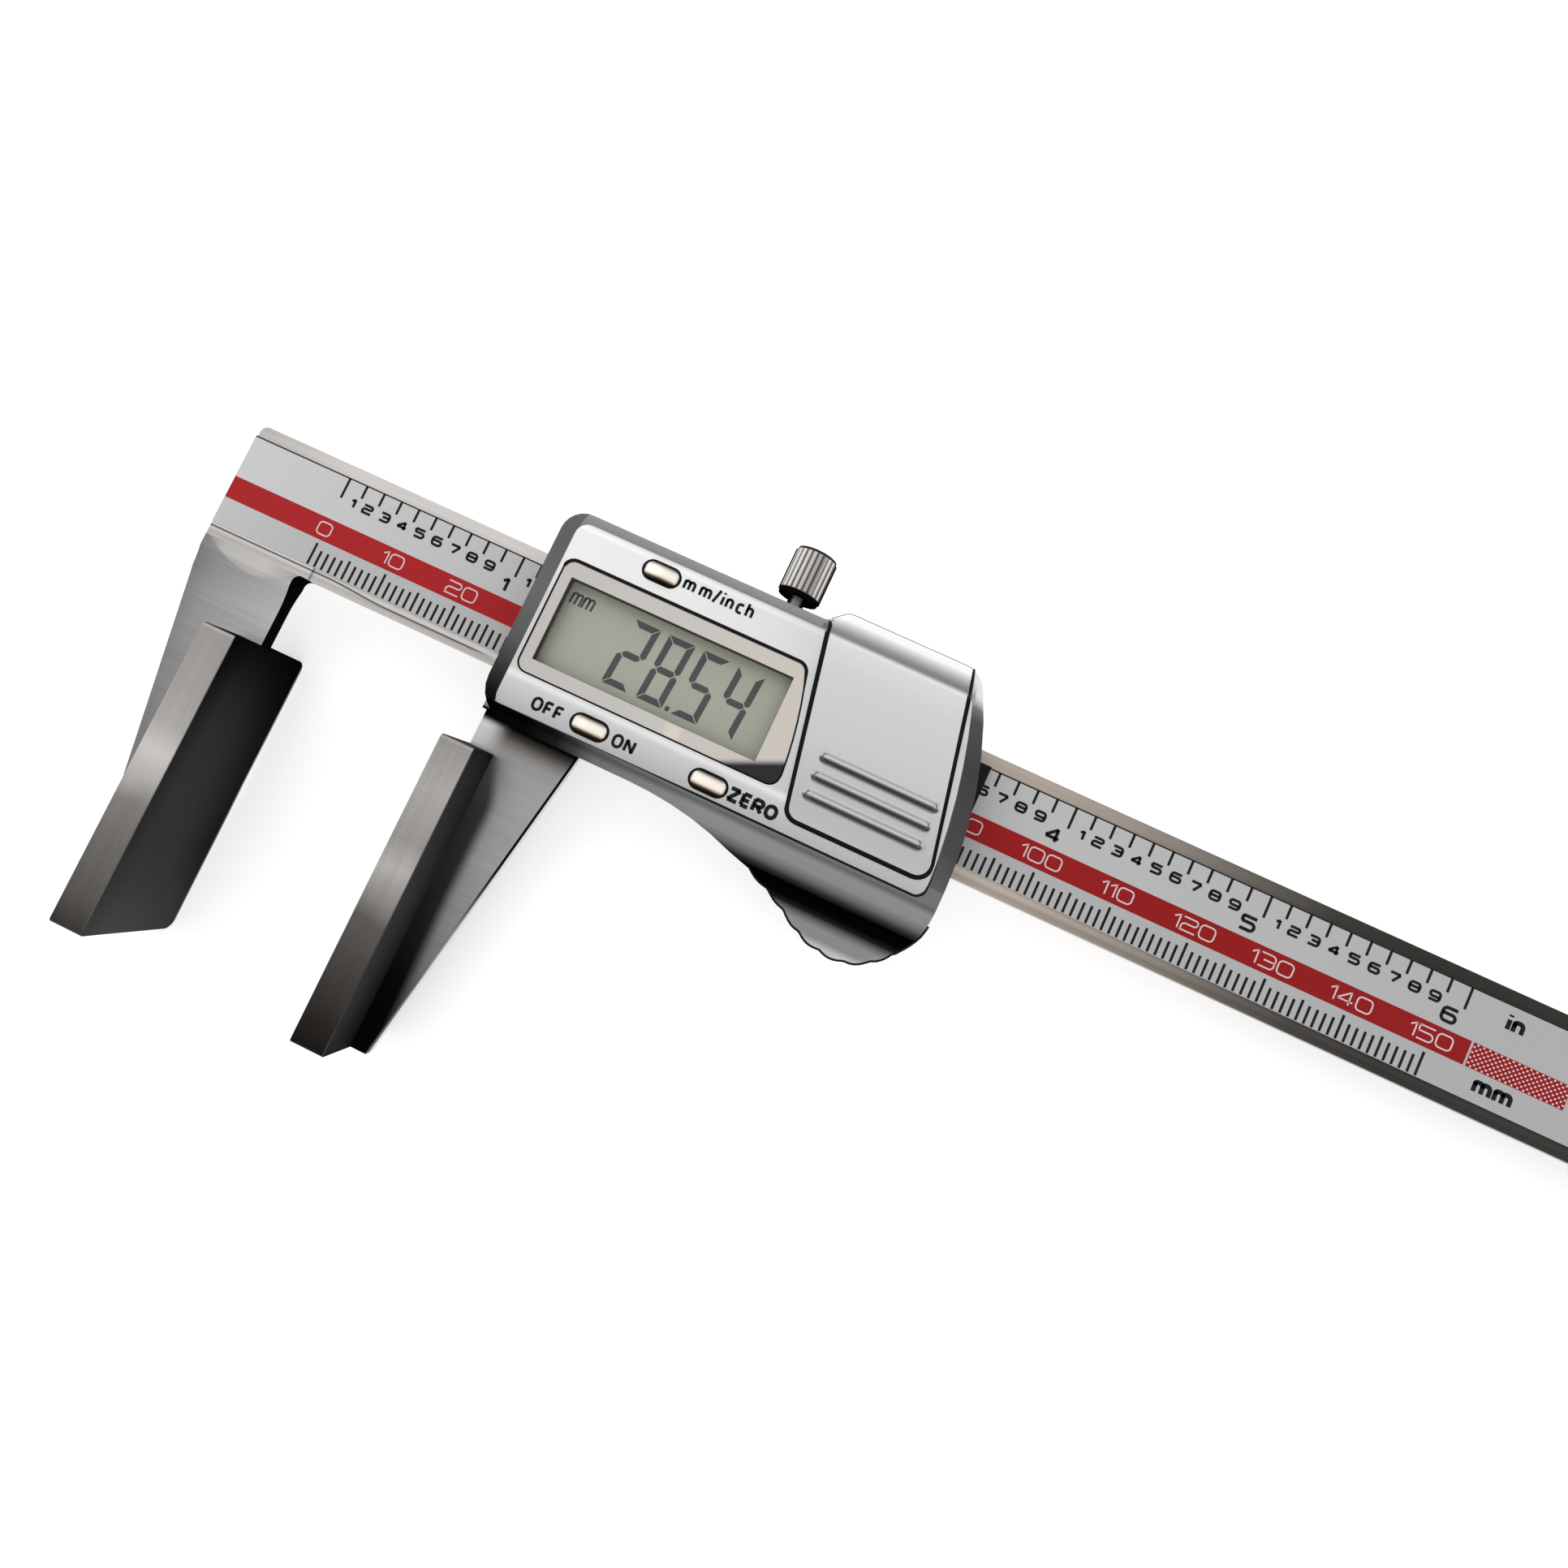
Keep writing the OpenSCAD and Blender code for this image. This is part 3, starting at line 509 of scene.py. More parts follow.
@dataclass(frozen=True)
class Coated(Finish):
    """Smooth silver coat whose tone, painted light and shade included, is painted by place."""

    metallic: float = 0.2
    roughness: float = 0.34

    @abstractmethod
    def paint(self, graph: Graph) -> Value:
        """Colour of the coat, with its painted light and shade."""

    def build(self) -> bpy.types.Material:
        """The painted colour under fine fleck."""
        graph = Graph(self.label)
        fleck = graph.noise(14000.0, detail=1.0)
        grain = graph.mix(graph.step(fleck, 0.3, 0.7), grey(250), grey(255))
        tone = self.paint(graph)
        return graph.close(
            Base_Color=graph.times(tone, grain),
            Metallic=graph.light(tone) * self.metallic,
            Specular_IOR_Level=0.0,
            Roughness=self.roughness + fleck * 0.05,
            Normal=graph.bump(fleck, 0.02, 0.00002),
        )


@dataclass(frozen=True)
class HousingCoat(Coated):
    """Display housing: bright face with painted reflection, grey flanks with painted light and shade, and a
    painted black band across the thumb grip.
    """

    face_left: float = 4.3
    face_low: float = -12.48
    side_bow: float = 160.0
    bow_v: float = -14.0
    side_u: float = 59.5
    corner_r: float = 1.6
    edge_in: float = 0.42
    soft: float = 0.08
    face_z: float = 8.985

    def paint(self, graph: Graph) -> Value:
        """Each flank has its own run of painted light and shade. The grip's painted dark band lies at one
        distance from the beam.
        """
        x, y, z = graph.place()
        u, v = x - SLIDER_X, y - BEAM_Y
        # Painted reflection on the face, lighter towards the top, with painted highlights along its top
        # edge and below the bezel.
        face = graph.greys(
            v, (-12.0, 182), (-11.4, 188), (-8.8, 210), (-8.1, 238), (-7.4, 206), (2, 212), (8, 240),
            (10.9, 238), (11.2, 252), (11.6, 242), (11.8, 216),
        )
        # Painted shade that darkens the upper part of the face towards the right.
        rightward_shade = graph.greys(u, (6, 255), (20, 252), (30, 246), (38, 230))
        face = graph.mix(graph.step(v, 1.0, 7.0), face, graph.times(face, rightward_shade))
        # Painted light and shade on the left, top and right flanks.
        left = graph.greys(v, (-12.5, 14), (-11, 24), (-8, 58), (-4, 94), (2, 108), (9, 100))
        top = graph.greys(v, (11.8, 130), (12.4, 140), (13.4, 144))
        right = graph.greys(
            v, (-13, 134), (-10, 98), (-6, 80), (4, 72), (9.4, 84), (10.8, 120), (12.2, 232), (14, 236),
        )
        # Painted shadow: the foot of the right flank, where the beam leaves the housing, is painted near
        # black.
        foot = graph.step(z, 3.6, 2.6) * graph.step(v, -2.5, 0.5) * graph.step(v, 8.5, 7.5)
        right = graph.mix(foot, right, grey(8))
        # Painted dark reflection across the thumb grip, lighter below and above it, and painted shade
        # towards the grip's left end.
        grip = graph.greys(
            v, (-23, 208), (-22.4, 196), (-21.6, 146), (-20.4, 146), (-19.8, 114), (-19.1, 32),
            (-18.4, 6), (-16.9, 2), (-16.3, 50), (-15.5, 112), (-14.6, 144), (-13.4, 147), (-12.7, 104),
            (-12.2, 122),
        )
        shade = graph.greys(u, (9, 24), (13, 64), (15.5, 130), (18, 206), (22, 228), (32, 255))
        low = graph.times(grip, shade)
        face_edge = self.face_low + self.edge_in
        out = u - (self.side_u - self.corner_r)
        down = (face_edge + self.corner_r) - v
        beyond = graph.step(graph.distance(out, down), self.corner_r, self.corner_r + self.soft)
        beyond = beyond * graph.step(out, -0.01, 0.0) * graph.step(down, -0.01, 0.0)
        edge = graph.step(v, face_edge - self.soft, face_edge) * (1.0 - beyond)
        bow = v - self.bow_v
        past = u + bow * bow * (1 / self.side_bow)
        colour = graph.mix(graph.step(u, self.face_left + 0.1, self.face_left), top, left)
        colour = graph.mix(graph.step(past, self.side_u, self.side_u + 0.12), colour, right)
        colour = graph.mix(edge, low, colour)
        return graph.mix(graph.step(z, self.face_z - 0.055, self.face_z) * edge, colour, face)


@dataclass(frozen=True)
class CoverCoat(Coated):
    """Battery cover: painted light that brightens towards its rolled edge, and grip ridges with painted
    highlights and shadows.
    """

    ridge_at: float = -6.6
    ridge_pitch: float = 2.35
    ridge_mid: float = 13.25
    ridge_half: float = 6.7

    def paint(self, graph: Graph) -> Value:
        """The painted light follows the distance from the beam, and each ridge has a painted shadow on its
        lower side.
        """
        x, y, _ = graph.place()
        v = y - BEAM_Y
        low, _ = corners("battery_cover")
        # Painted light that brightens towards the rolled edge, with a painted dark reflection where the
        # edge rolls over.
        tone = graph.greys(
            v, (-10, 196), (-8.5, 192), (-4, 200), (0, 209), (8, 216), (11.1, 226), (11.45, 238),
            (11.7, 196), (11.9, 138), (12.2, 132), (12.6, 150), (13.2, 188), (13.8, 226), (14.2, 253),
        )
        turn = graph.math("FRACT", (v - self.ridge_at) * (1 / self.ridge_pitch) + 0.5)
        off = (turn - 0.5) * self.ridge_pitch
        reach = abs(x - low.x - self.ridge_mid)
        reach = graph.math("MAXIMUM", reach - self.ridge_half, 0.0)
        away = graph.distance(reach, off)
        inside = graph.step(away, 1.0, 0.7)
        # Painted highlight above each ridge and painted shadow below it.
        ridge = graph.greys(
            off, (-0.9, 188), (-0.72, 150), (-0.46, 78), (-0.2, 66), (-0.04, 150), (0.14, 212),
            (0.4, 190), (0.5, 182), (0.8, 214),
        )
        # Painted shade outlines the ends of each ridge.
        end = graph.step(away, 0.36, 0.46) * graph.step(away, 0.62, 0.5)
        ridge = graph.mix(end * graph.step(reach, 0.05, 0.3), ridge, grey(96))
        rows = graph.step(v, -0.6, -1.0) * graph.step(v, -8.2, -7.6)
        return graph.mix(inside * rows, tone, ridge)


@dataclass(frozen=True)
class BezelCoat(Coated):
    """Warm display bezel with painted shade on its inner wall, one painted glint and a painted dark
    reflection in its lower right corner.
    """

    lap: float = 1.5
    inset: float = 0.09
    glint_x: float = 4.3
    patch_at: float = -0.4

    def paint(self, graph: Graph) -> Value:
        """The inner wall's painted shade lies on the outline of the opening."""
        x, y, _ = graph.place()
        low, high = corners("display_panel")
        middle, half = (low + high) / 2, (high - low) / 2 - Vector((self.lap, self.lap, 0))
        # Painted shade on the inner wall round the display opening.
        across = abs(x - middle.x + self.inset) - half.x - self.inset
        along = abs(y - middle.y - self.inset) - half.y - self.inset
        inner = graph.step(graph.math("MAXIMUM", across, along), 0.08, 0.0)
        # Painted reflection: the bezel grows lighter towards the right.
        tone = graph.ramp(
            x, (low.x, srgb(196, 192, 187)), (middle.x, srgb(203, 199, 194)), (high.x, srgb(210, 203, 195))
        )
        # Painted highlight: one glint below the opening.
        glint = graph.step(abs(x - middle.x - self.glint_x), 1.6, 0.2) * graph.step(along, 0.1, 0.4)
        glint = glint * graph.step(y, middle.y, middle.y - 1.0) * 0.6
        tone = graph.mix(glint, tone, srgb(236, 224, 208))
        # Painted dark reflection in the lower right corner.
        corner = (x - half.x - middle.x) * 0.45 + (middle.y - half.y - y)
        dark_reflection = graph.step(corner, self.patch_at, self.patch_at + 1.1)
        tone = graph.mix(dark_reflection * graph.step(x, middle.x, middle.x + 8.0), tone, grey(52, -4))
        return graph.mix(inner, tone, grey(58, 6))


@dataclass(frozen=True)
class ButtonGold(Finish):
    """Domed gold cap: painted highlight on its crown, painted shade that browns its ends and darkens its
    lower edge.
    """

    node: str = ""
    lap: float = 0.45

    def build(self) -> bpy.types.Material:
        """The painted light and shade run across the width of the cap, and painted shade darkens its ends.
        """
        graph = Graph(self.label)
        low, high = corners(self.node)
        middle, half = (low + high) / 2, (high - low) / 2 - Vector((self.lap, self.lap, 0))
        x, y, _ = graph.place()
        grain = graph.noise(2600.0, Axis.ALONG_X.value, 3.0)
        across = (y - middle.y) * (1 / half.y) + (grain - 0.5) * 0.1
        along = abs((x - middle.x) * (1 / half.x))
        # Painted highlight on the crown and painted shade along the upper and lower edges, darkest at the
        # lower one.
        tone = graph.ramp(
            across, (-1.0, srgb(16, 11, 9)), (-0.78, srgb(30, 22, 17)), (-0.62, srgb(160, 136, 114)),
            (-0.36, srgb(252, 240, 224)), (0.14, srgb(255, 252, 246)), (0.56, srgb(244, 236, 225)),
            (0.78, srgb(176, 162, 150)), (0.92, srgb(104, 91, 82)), (1.0, srgb(44, 36, 32)),
        )
        # Painted shade darkens both ends towards brown.
        tone = graph.mix(graph.step(along, 0.84, 1.02) * 0.7, tone, srgb(88, 68, 52))
        return graph.close(Base_Color=tone, Metallic=0.3, Roughness=0.22 + grain * 0.08, Coat_Weight=0.1)


@dataclass(frozen=True)
class KnurledChrome(Finish):
    """Knurled head: painted highlights on the teeth, painted shade in the valleys and painted shadow on the
    stem.
    """

    valley_r: float = 2.7
    stem_r: float = 1.3
    head_l: float = 5.55
    turn: float = -0.09

    def build(self) -> bpy.types.Material:
        """The painted light and shade run across the head, and the valleys' painted shade is told by their
        radius.
        """
        graph = Graph(self.label)
        low, high = corners("lock_screw")
        x, y, z = graph.place()
        across = x - (low.x + high.x) / 2
        depth = z - (low.z + high.z) / 2
        reach = graph.distance(across, depth)
        side = across * math.cos(self.turn) + depth * math.sin(self.turn)
        # Painted reflection: light and dark bands across the head, with painted shade at both sides.
        tone = graph.greys(
            side, (-2.85, 10), (-2.66, 24), (-2.5, 214, 4), (-1.7, 228, 6), (-1.2, 186, 8),
            (-0.2, 196, 10), (0.5, 176, 10), (1.2, 150, 10), (1.6, 255, 6), (2.0, 176, 8),
            (2.35, 236, 6), (2.55, 120, 6), (2.7, 10),
        )
        # Painted shade in the valleys between the teeth.
        valley = graph.step(reach, self.valley_r + 0.03, self.valley_r - 0.05)
        tone = graph.mix(valley * 0.7, tone, grey(58, 6))
        # Painted shadow on the stem below the head, with a painted highlight down its middle.
        stem = graph.step(y, high.y - self.head_l, high.y - self.head_l - 0.2)
        core = graph.mix(graph.step(abs(across - 0.1), 0.8, 0.3), grey(8), grey(142, 4))
        core = graph.mix(graph.step(reach, self.stem_r + 0.25, self.stem_r + 0.1), grey(14), core)
        tone = graph.mix(stem, tone, core)
        # The head's end face: a painted highlight, with painted shade towards its edge.
        end = graph.step(y, high.y - 0.45, high.y - 0.2)
        rim = graph.step(reach, self.valley_r - 0.3, self.valley_r - 0.15)
        tone = graph.mix(end, tone, graph.mix(rim, grey(186, 4), grey(48, 4)))
        marks = graph.noise(3000.0, Axis.ALONG_Y.value, 2.0)
        return graph.close(
            Base_Color=tone,
            Metallic=graph.light(tone) * 0.3,
            Roughness=0.24 + marks * 0.1,
            Specular_IOR_Level=0.0,
        )


@dataclass(frozen=True)
class SheetPaper(Finish):
    """Pale grey scale sheet, darker below the red band, with painted shade that darkens it towards the free
    end.
    """

    def build(self) -> bpy.types.Material:
        """Two runs of tone along the beam, one for each strip, darkening towards the free end as painted
        shade.
        """
        graph = Graph(self.label)
        x, y, _ = graph.place()
        v = y - BEAM_Y
        # Painted shade: both strips darken towards the free end.
        upper = graph.greys(x, (-14, 212), (0, 206), (26, 198), (100, 195), (158, 184))
        lower = graph.greys(x, (-14, 202), (0, 190), (26, 188), (100, 184), (158, 182))
        clouds = graph.noise(40.0, detail=2.0)
        tone = graph.mix(graph.step(v, -1.0, -1.2), upper, lower)
        tone = graph.times(tone, graph.mix(clouds, grey(248), grey(255)))
        return graph.close(Base_Color=tone, Roughness=0.42 + clouds * 0.06)


@dataclass(frozen=True)
class BandInk(Finish):
    """Red ink of the scale's band, with painted shade that darkens it towards the free end."""

    def build(self) -> bpy.types.Material:
        """Clouded red under painted shade that darkens along the beam."""
        graph = Graph(self.label)
        x, _, _ = graph.place()
        clouds = graph.noise(120.0)
        along = x + clouds * 12.0
        # Painted shade: the red darkens towards the free end.
        tone = graph.ramp(along, (0, srgb(172, 35, 39)), (70, srgb(166, 32, 35)), (120, srgb(148, 26, 28)))
        return graph.close(Base_Color=tone, Roughness=0.46 + clouds * 0.08)


@dataclass(frozen=True)
class Plain(Finish):
    """A finish of one tone with fine mottling."""

    tone: Colour = (0.5, 0.5, 0.5)
    spread: float = 0.12
    grain: float = 900.0
    roughness: float = 0.5
    metallic: float = 0.0
    coat: float = 0.0

    def build(self) -> bpy.types.Material:
        """Mottled colour and roughness over a light bump."""
        graph = Graph(self.label)
        pattern = graph.noise(self.grain)
        dark = tuple(c * (1 - self.spread) for c in self.tone)
        light = tuple(min(1.0, c * (1 + self.spread)) for c in self.tone)
        return graph.close(
            Base_Color=graph.mix(graph.step(pattern, 0.3, 0.7), dark, light),
            Metallic=self.metallic,
            Roughness=self.roughness - 0.04 + pattern * 0.08,
            Coat_Weight=self.coat,
            Normal=graph.bump(pattern, 0.06, 0.00003),
        )


@dataclass(frozen=True)
class Clear(Finish):
    """Clear window over the display."""

    tint: Colour = srgb(120, 126, 118)

    def build(self) -> bpy.types.Material:
        """Mostly transparent, with a polished surface that carries fine dust."""
        graph = Graph(self.label)
        dust = graph.noise(5200.0, detail=2.0)
        return graph.close(
            Base_Color=self.tint,
            Roughness=0.03 + graph.step(dust, 0.6, 0.8) * 0.08,
            Alpha=0.07 + graph.step(dust, 0.66, 0.8) * 0.03,
            IOR=1.45,
        )


class Palette(Enum):
    """Every finish on the caliper."""

    BEAM = BeamSteel("beam_steel")
    FRAME = FrameSteel("frame_steel", tone=grey(150, 4))
    BACK = GroundSteel("back_plate_steel", tone=grey(164, 4))
    # The plates' front tones are a painted highlight along the ground edge; their side tones are painted
    # dark reflection and shade.
    FIXED_PLATE = PlateSteel(
        "fixed_plate_steel",
        front=(
            (-20, 52), (-16, 84), (-8, 110), (-3.5, 128), (0, 178), (3.5, 202), (7, 172), (12, 160),
            (20, 152),
        ),
    )
    MOVING_PLATE = PlateSteel(
        "moving_plate_steel",
        front=(
            (-20, 10), (-16, 34), (-8, 72), (-3.5, 92), (0, 144), (3.5, 178), (7, 150), (13, 168),
            (20, 144),
        ),
        side=((-20, 22), (-12, 34), (-8, 40), (0, 50), (8, 48), (16, 44), (20, 26)),
        lip=255,
    )
    STOP = GroundSteel("end_stop_steel", tone=grey(150, 4), marks=Axis.ALONG_Y)
    SHEET = SheetPaper("printed_sheet")
    RED = BandInk("red_ink")
    WHITE = Plain("white_ink", tone=srgb(226, 205, 206), spread=0.04, roughness=0.5)
    BLACK = Plain("black_ink", tone=srgb(22, 22, 23), spread=0.2, roughness=0.5)
    # Painted shade: the black of the lines drawn in the seams and along edges.
    SEAM = Plain("seam_shade", tone=srgb(14, 13, 13), spread=0.2, roughness=0.6)
    HOUSING = HousingCoat("housing_coat")
    COVER = CoverCoat("cover_coat")
    BEZEL = BezelCoat("bezel_coat")
    WINDOW = Clear("window_clear")
    DISPLAY = Plain("display_film", tone=srgb(190, 192, 177), spread=0.03, grain=50.0, roughness=0.5)
    SEGMENT = Plain("display_segment", tone=srgb(80, 80, 84), spread=0.06, roughness=0.5)
    FAINT = Plain("display_unit", tone=srgb(76, 76, 76), spread=0.06, roughness=0.5)
    UNIT = ButtonGold("unit_gold", node="unit_button")
    POWER = ButtonGold("power_gold", node="power_button")
    ZERO = ButtonGold("zero_gold", node="zero_button")
    SCREW = Plain(
        "screw_steel", tone=srgb(112, 110, 106), spread=0.2, grain=2200.0, roughness=0.35, metallic=0.9
    )
    KNOB = KnurledChrome("knob_chrome")
    BRASS = Plain(
        "brass", tone=srgb(186, 152, 92), spread=0.12, grain=1200.0, roughness=0.3, metallic=1.0
    )
    CELL = Plain(
        "cell_steel", tone=srgb(206, 206, 204), spread=0.06, grain=2400.0, roughness=0.42, metallic=0.5
    )
    RUBBER = Plain("black_rubber", tone=srgb(26, 26, 27), spread=0.2, grain=3000.0, roughness=0.75)
    BOARD = Plain(
        "board_laminate", tone=srgb(36, 84, 54), spread=0.15, grain=1800.0, roughness=0.4, coat=0.3
    )
    WIPER = Plain("wiper_plastic", tone=srgb(20, 20, 21), spread=0.25, grain=2600.0, roughness=0.45)


FINISHED: dict[Palette, tuple[str, ...]] = {
    Palette.BEAM: ("beam",),
    Palette.FIXED_PLATE: ("fixed_plate",),
    Palette.MOVING_PLATE: ("moving_plate",),
    Palette.SHEET: ("scale_sheet",),
    Palette.STOP: ("end_stop",),
    Palette.FRAME: ("slider_frame",),
    Palette.BACK: ("back_plate",),
    Palette.SCREW: ("end_stop_screws", "back_plate_screws", "gib_screws", "housing_screws"),
    Palette.BRASS: ("gib_strip", "lock_pad", "positive_contact", "negative_contact"),
    Palette.RUBBER: ("contact_strips", "upper_key_pad", "lower_key_pad"),
    Palette.BOARD: ("circuit_board", "reading_head"),
    Palette.HOUSING: ("housing",),
    Palette.COVER: ("battery_cover",),
    Palette.BEZEL: ("bezel",),
    Palette.WINDOW: ("display_window",),
    Palette.DISPLAY: ("display_panel",),
    Palette.UNIT: ("unit_button",),
    Palette.POWER: ("power_button",),
    Palette.ZERO: ("zero_button",),
    Palette.CELL: ("button_cell",),
    Palette.WIPER: ("rear_wiper",),
    Palette.KNOB: ("lock_screw",),
}
NODE_FINISH: dict[str, Palette] = {node: finish for finish, nodes in FINISHED.items() for node in nodes}



# Geometry nodes


class NodeGroup:
    """A Geometry Nodes tree with named inputs, applied to an object and turned into a plain mesh."""

    def __init__(self, name: str, inputs: dict[str, str]) -> None:
        """Makes a tree.

        Args:
            name: name of the tree.
            inputs: socket type by input name.
        """
        self.tree = bpy.data.node_groups.new(name, "GeometryNodeTree")
        self.tree.interface.new_socket("Geometry", in_out="INPUT", socket_type="NodeSocketGeometry")
        self.tree.interface.new_socket("Geometry", in_out="OUTPUT", socket_type="NodeSocketGeometry")
        for label, kind in inputs.items():
            self.tree.interface.new_socket(label, in_out="INPUT", socket_type=kind)
        self.source = self.tree.nodes.new("NodeGroupInput").outputs
        self.sink = self.tree.nodes.new("NodeGroupOutput").inputs

    def node(
        self, kind: str, settings: Optional[dict] = None, inputs: Optional[dict] = None
    ) -> bpy.types.bpy_prop_collection:
        """Adds one node.

        Args:
            kind: Blender's type name of the node.
            settings: properties that are set before any input.
            inputs: plain values or sockets for its inputs, by name or index.

        Returns:
            The node's outputs.
        """
        made = self.tree.nodes.new(kind)
        for key, setting in (settings or {}).items():
            setattr(made, key, setting)
        for key, given in (inputs or {}).items():
            if isinstance(given, bpy.types.NodeSocket):
                self.tree.links.new(given, made.inputs[key])
            else:
                made.inputs[key].default_value = given
        return made.outputs

    def close(self, geometry: bpy.types.NodeSocket) -> None:
        """Ends the tree in Realize Instances and Set Material."""
        real = self.node("GeometryNodeRealizeInstances", inputs={"Geometry": geometry})[0]
        inked = self.node(
            "GeometryNodeSetMaterial", inputs={"Geometry": real, "Material": self.source["Material"]}
        )[0]
        self.tree.links.new(inked, self.sink[0])

    def bake(self, carrier: bpy.types.Object, values: dict[str, object]) -> bpy.types.Mesh:
        """Runs the tree on a carrier object and removes the carrier.

        Args:
            carrier: object that holds the input geometry.
            values: input values by name.

        Returns:
            The plain mesh.
        """
        modifier = carrier.modifiers.new("build", "NODES")
        modifier.node_group = self.tree
        for item in self.tree.interface.items_tree:
            if item.in_out == "INPUT" and item.name in values:
                modifier[item.identifier] = values[item.name]
        bpy.context.scene.collection.objects.link(carrier)
        graph = bpy.context.evaluated_depsgraph_get()
        mesh = bpy.data.meshes.new_from_object(carrier.evaluated_get(graph), depsgraph=graph)
        carrier.modifiers.remove(modifier)
        bpy.data.objects.remove(carrier)
        return mesh


class TickTree(NodeGroup):
    """Graduations: a row of marks where every few are longer."""

    def __init__(self) -> None:
        """Builds the tree."""
        super().__init__(
            "graduations",
            {
                "Count": "NodeSocketInt", "Pitch": "NodeSocketFloat", "Start": "NodeSocketVector",
                "Short": "NodeSocketFloat", "Middle": "NodeSocketFloat", "Long": "NodeSocketFloat",
                "Every Middle": "NodeSocketInt", "Every Long": "NodeSocketInt", "Width": "NodeSocketFloat",
                "Thickness": "NodeSocketFloat", "Side": "NodeSocketFloat", "Material": "NodeSocketMaterial",
            },
        )
        source = self.source
        pitch = self.node("ShaderNodeCombineXYZ", inputs={0: source["Pitch"]})[0]
        line = self.node(
            "GeometryNodeMeshLine", inputs={"Count": source["Count"], "Start Location": source["Start"],
                                            "Offset": pitch}
        )[0]
        length = self.pick("Every Middle", source["Short"], source["Middle"])
        length = self.pick("Every Long", length, source["Long"])
        size = self.node(
            "ShaderNodeCombineXYZ", inputs={0: source["Width"], 1: length, 2: source["Thickness"]}
        )[0]
        reach = self.scalar("MULTIPLY", length, source["Side"])
        half = self.scalar("MULTIPLY", reach, 0.5)
        shift = self.node("ShaderNodeCombineXYZ", inputs={1: half})[0]
        moved = self.node("GeometryNodeSetPosition", inputs={"Geometry": line, "Offset": shift})[0]
        mark = self.node("GeometryNodeMeshCube", inputs={"Size": (1.0, 1.0, 1.0)})[0]
        marks = self.node(
            "GeometryNodeInstanceOnPoints", inputs={"Points": moved, "Instance": mark, "Scale": size}
        )[0]
        self.close(marks)

    def scalar(self, operation: str, a: object, b: object) -> bpy.types.NodeSocket:
        """One Math node."""
        return self.node("ShaderNodeMath", {"operation": operation}, {0: a, 1: b})[0]

    def pick(
        self, every: str, usual: bpy.types.NodeSocket, other: bpy.types.NodeSocket
    ) -> bpy.types.NodeSocket:
        """Chooses the other length on each mark whose index is a multiple of the named input."""
        index = self.node("GeometryNodeInputIndex")[0]
        rest = self.scalar("MODULO", index, self.source[every])
        whole = self.scalar("LESS_THAN", rest, 0.5)
        return self.node(
            "GeometryNodeSwitch", {"input_type": "FLOAT"}, {"Switch": whole, "False": usual, "True": other}
        )[0]


class RibbonTree(NodeGroup):
    """Flat ribbons that follow curves: letter strokes and seam lines."""

    def __init__(self) -> None:
        """Builds the tree."""
        super().__init__(
            "ribbons",
            {"Width": "NodeSocketFloat", "Thickness": "NodeSocketFloat", "Material": "NodeSocketMaterial"},
        )
        profile = self.node(
            "GeometryNodeCurvePrimitiveQuadrilateral",
            inputs={"Width": self.source["Width"], "Height": self.source["Thickness"]},
        )[0]
        swell = self.node("GeometryNodeInputRadius")[0]
        ribbon = self.node(
            "GeometryNodeCurveToMesh",
            inputs={
                "Curve": self.source["Geometry"], "Profile Curve": profile, "Scale": swell,
                "Fill Caps": True,
            },
        )[0]
        self.close(ribbon)


class CheckerTree(NodeGroup):
    """Small squares on every other place of a grid."""

    def __init__(self) -> None:
        """Builds the tree."""
        super().__init__(
            "checker",
            {
                "Columns": "NodeSocketInt", "Rows": "NodeSocketInt", "Size": "NodeSocketVector",
                "Square": "NodeSocketVector", "Centre": "NodeSocketVector",
                "Material": "NodeSocketMaterial",
            },
        )
        source = self.source
        split = self.node("ShaderNodeSeparateXYZ", inputs={0: source["Size"]})
        grid = self.node(
            "GeometryNodeMeshGrid",
            inputs={"Size X": split[0], "Size Y": split[1], "Vertices X": source["Columns"],
                    "Vertices Y": source["Rows"]},
        )[0]
        index = self.node("GeometryNodeInputIndex")[0]
        odd = self.node("ShaderNodeMath", {"operation": "MODULO"}, {0: index, 1: 2.0})[0]
        centred = self.node(
            "GeometryNodeSetPosition", inputs={"Geometry": grid, "Offset": source["Centre"]}
        )[0]
        square = self.node("GeometryNodeMeshCube", inputs={"Size": (1.0, 1.0, 1.0)})[0]
        squares = self.node(
            "GeometryNodeInstanceOnPoints",
            inputs={"Points": centred, "Instance": square, "Scale": source["Square"], "Selection": odd},
        )[0]
        self.close(squares)


# Strokes and pieces


def rounded(points: Sequence[Point], radius: float, closed: bool, steps: int = 5) -> list[Point]:
    """Rounds the corners of a path with arcs.

    Args:
        points: corners of the path.
        radius: radius of each arc, cut down where a side is too short for it.
        closed: whether the last point joins the first.
        steps: pieces in each arc.

    Returns:
        The points of the rounded path.
    """
    count = len(points)
    made: list[Point] = []
    for i, corner in enumerate(points):
        if radius <= 0 or (not closed and i in (0, count - 1)):
            made.append(corner)
            continue
        here = Vector(corner)
        before, after = Vector(points[i - 1]) - here, Vector(points[(i + 1) % count]) - here
        half_turn = before.angle(after) / 2
        reach = min(radius / math.tan(half_turn), before.length / 2, after.length / 2)
        r = reach * math.tan(half_turn)
        start, end = here + before.normalized() * reach, here + after.normalized() * reach
        inward = (before.normalized() + after.normalized()).normalized()
        centre = here + inward * (r / math.sin(half_turn))
        a0 = math.atan2(*(start - centre).yx)
        turn = math.remainder(math.atan2(*(end - centre).yx) - a0, 2 * math.pi)
        for k in range(steps + 1):
            a = a0 + turn * k / steps
            made.append((centre.x + r * math.cos(a), centre.y + r * math.sin(a)))
    return made


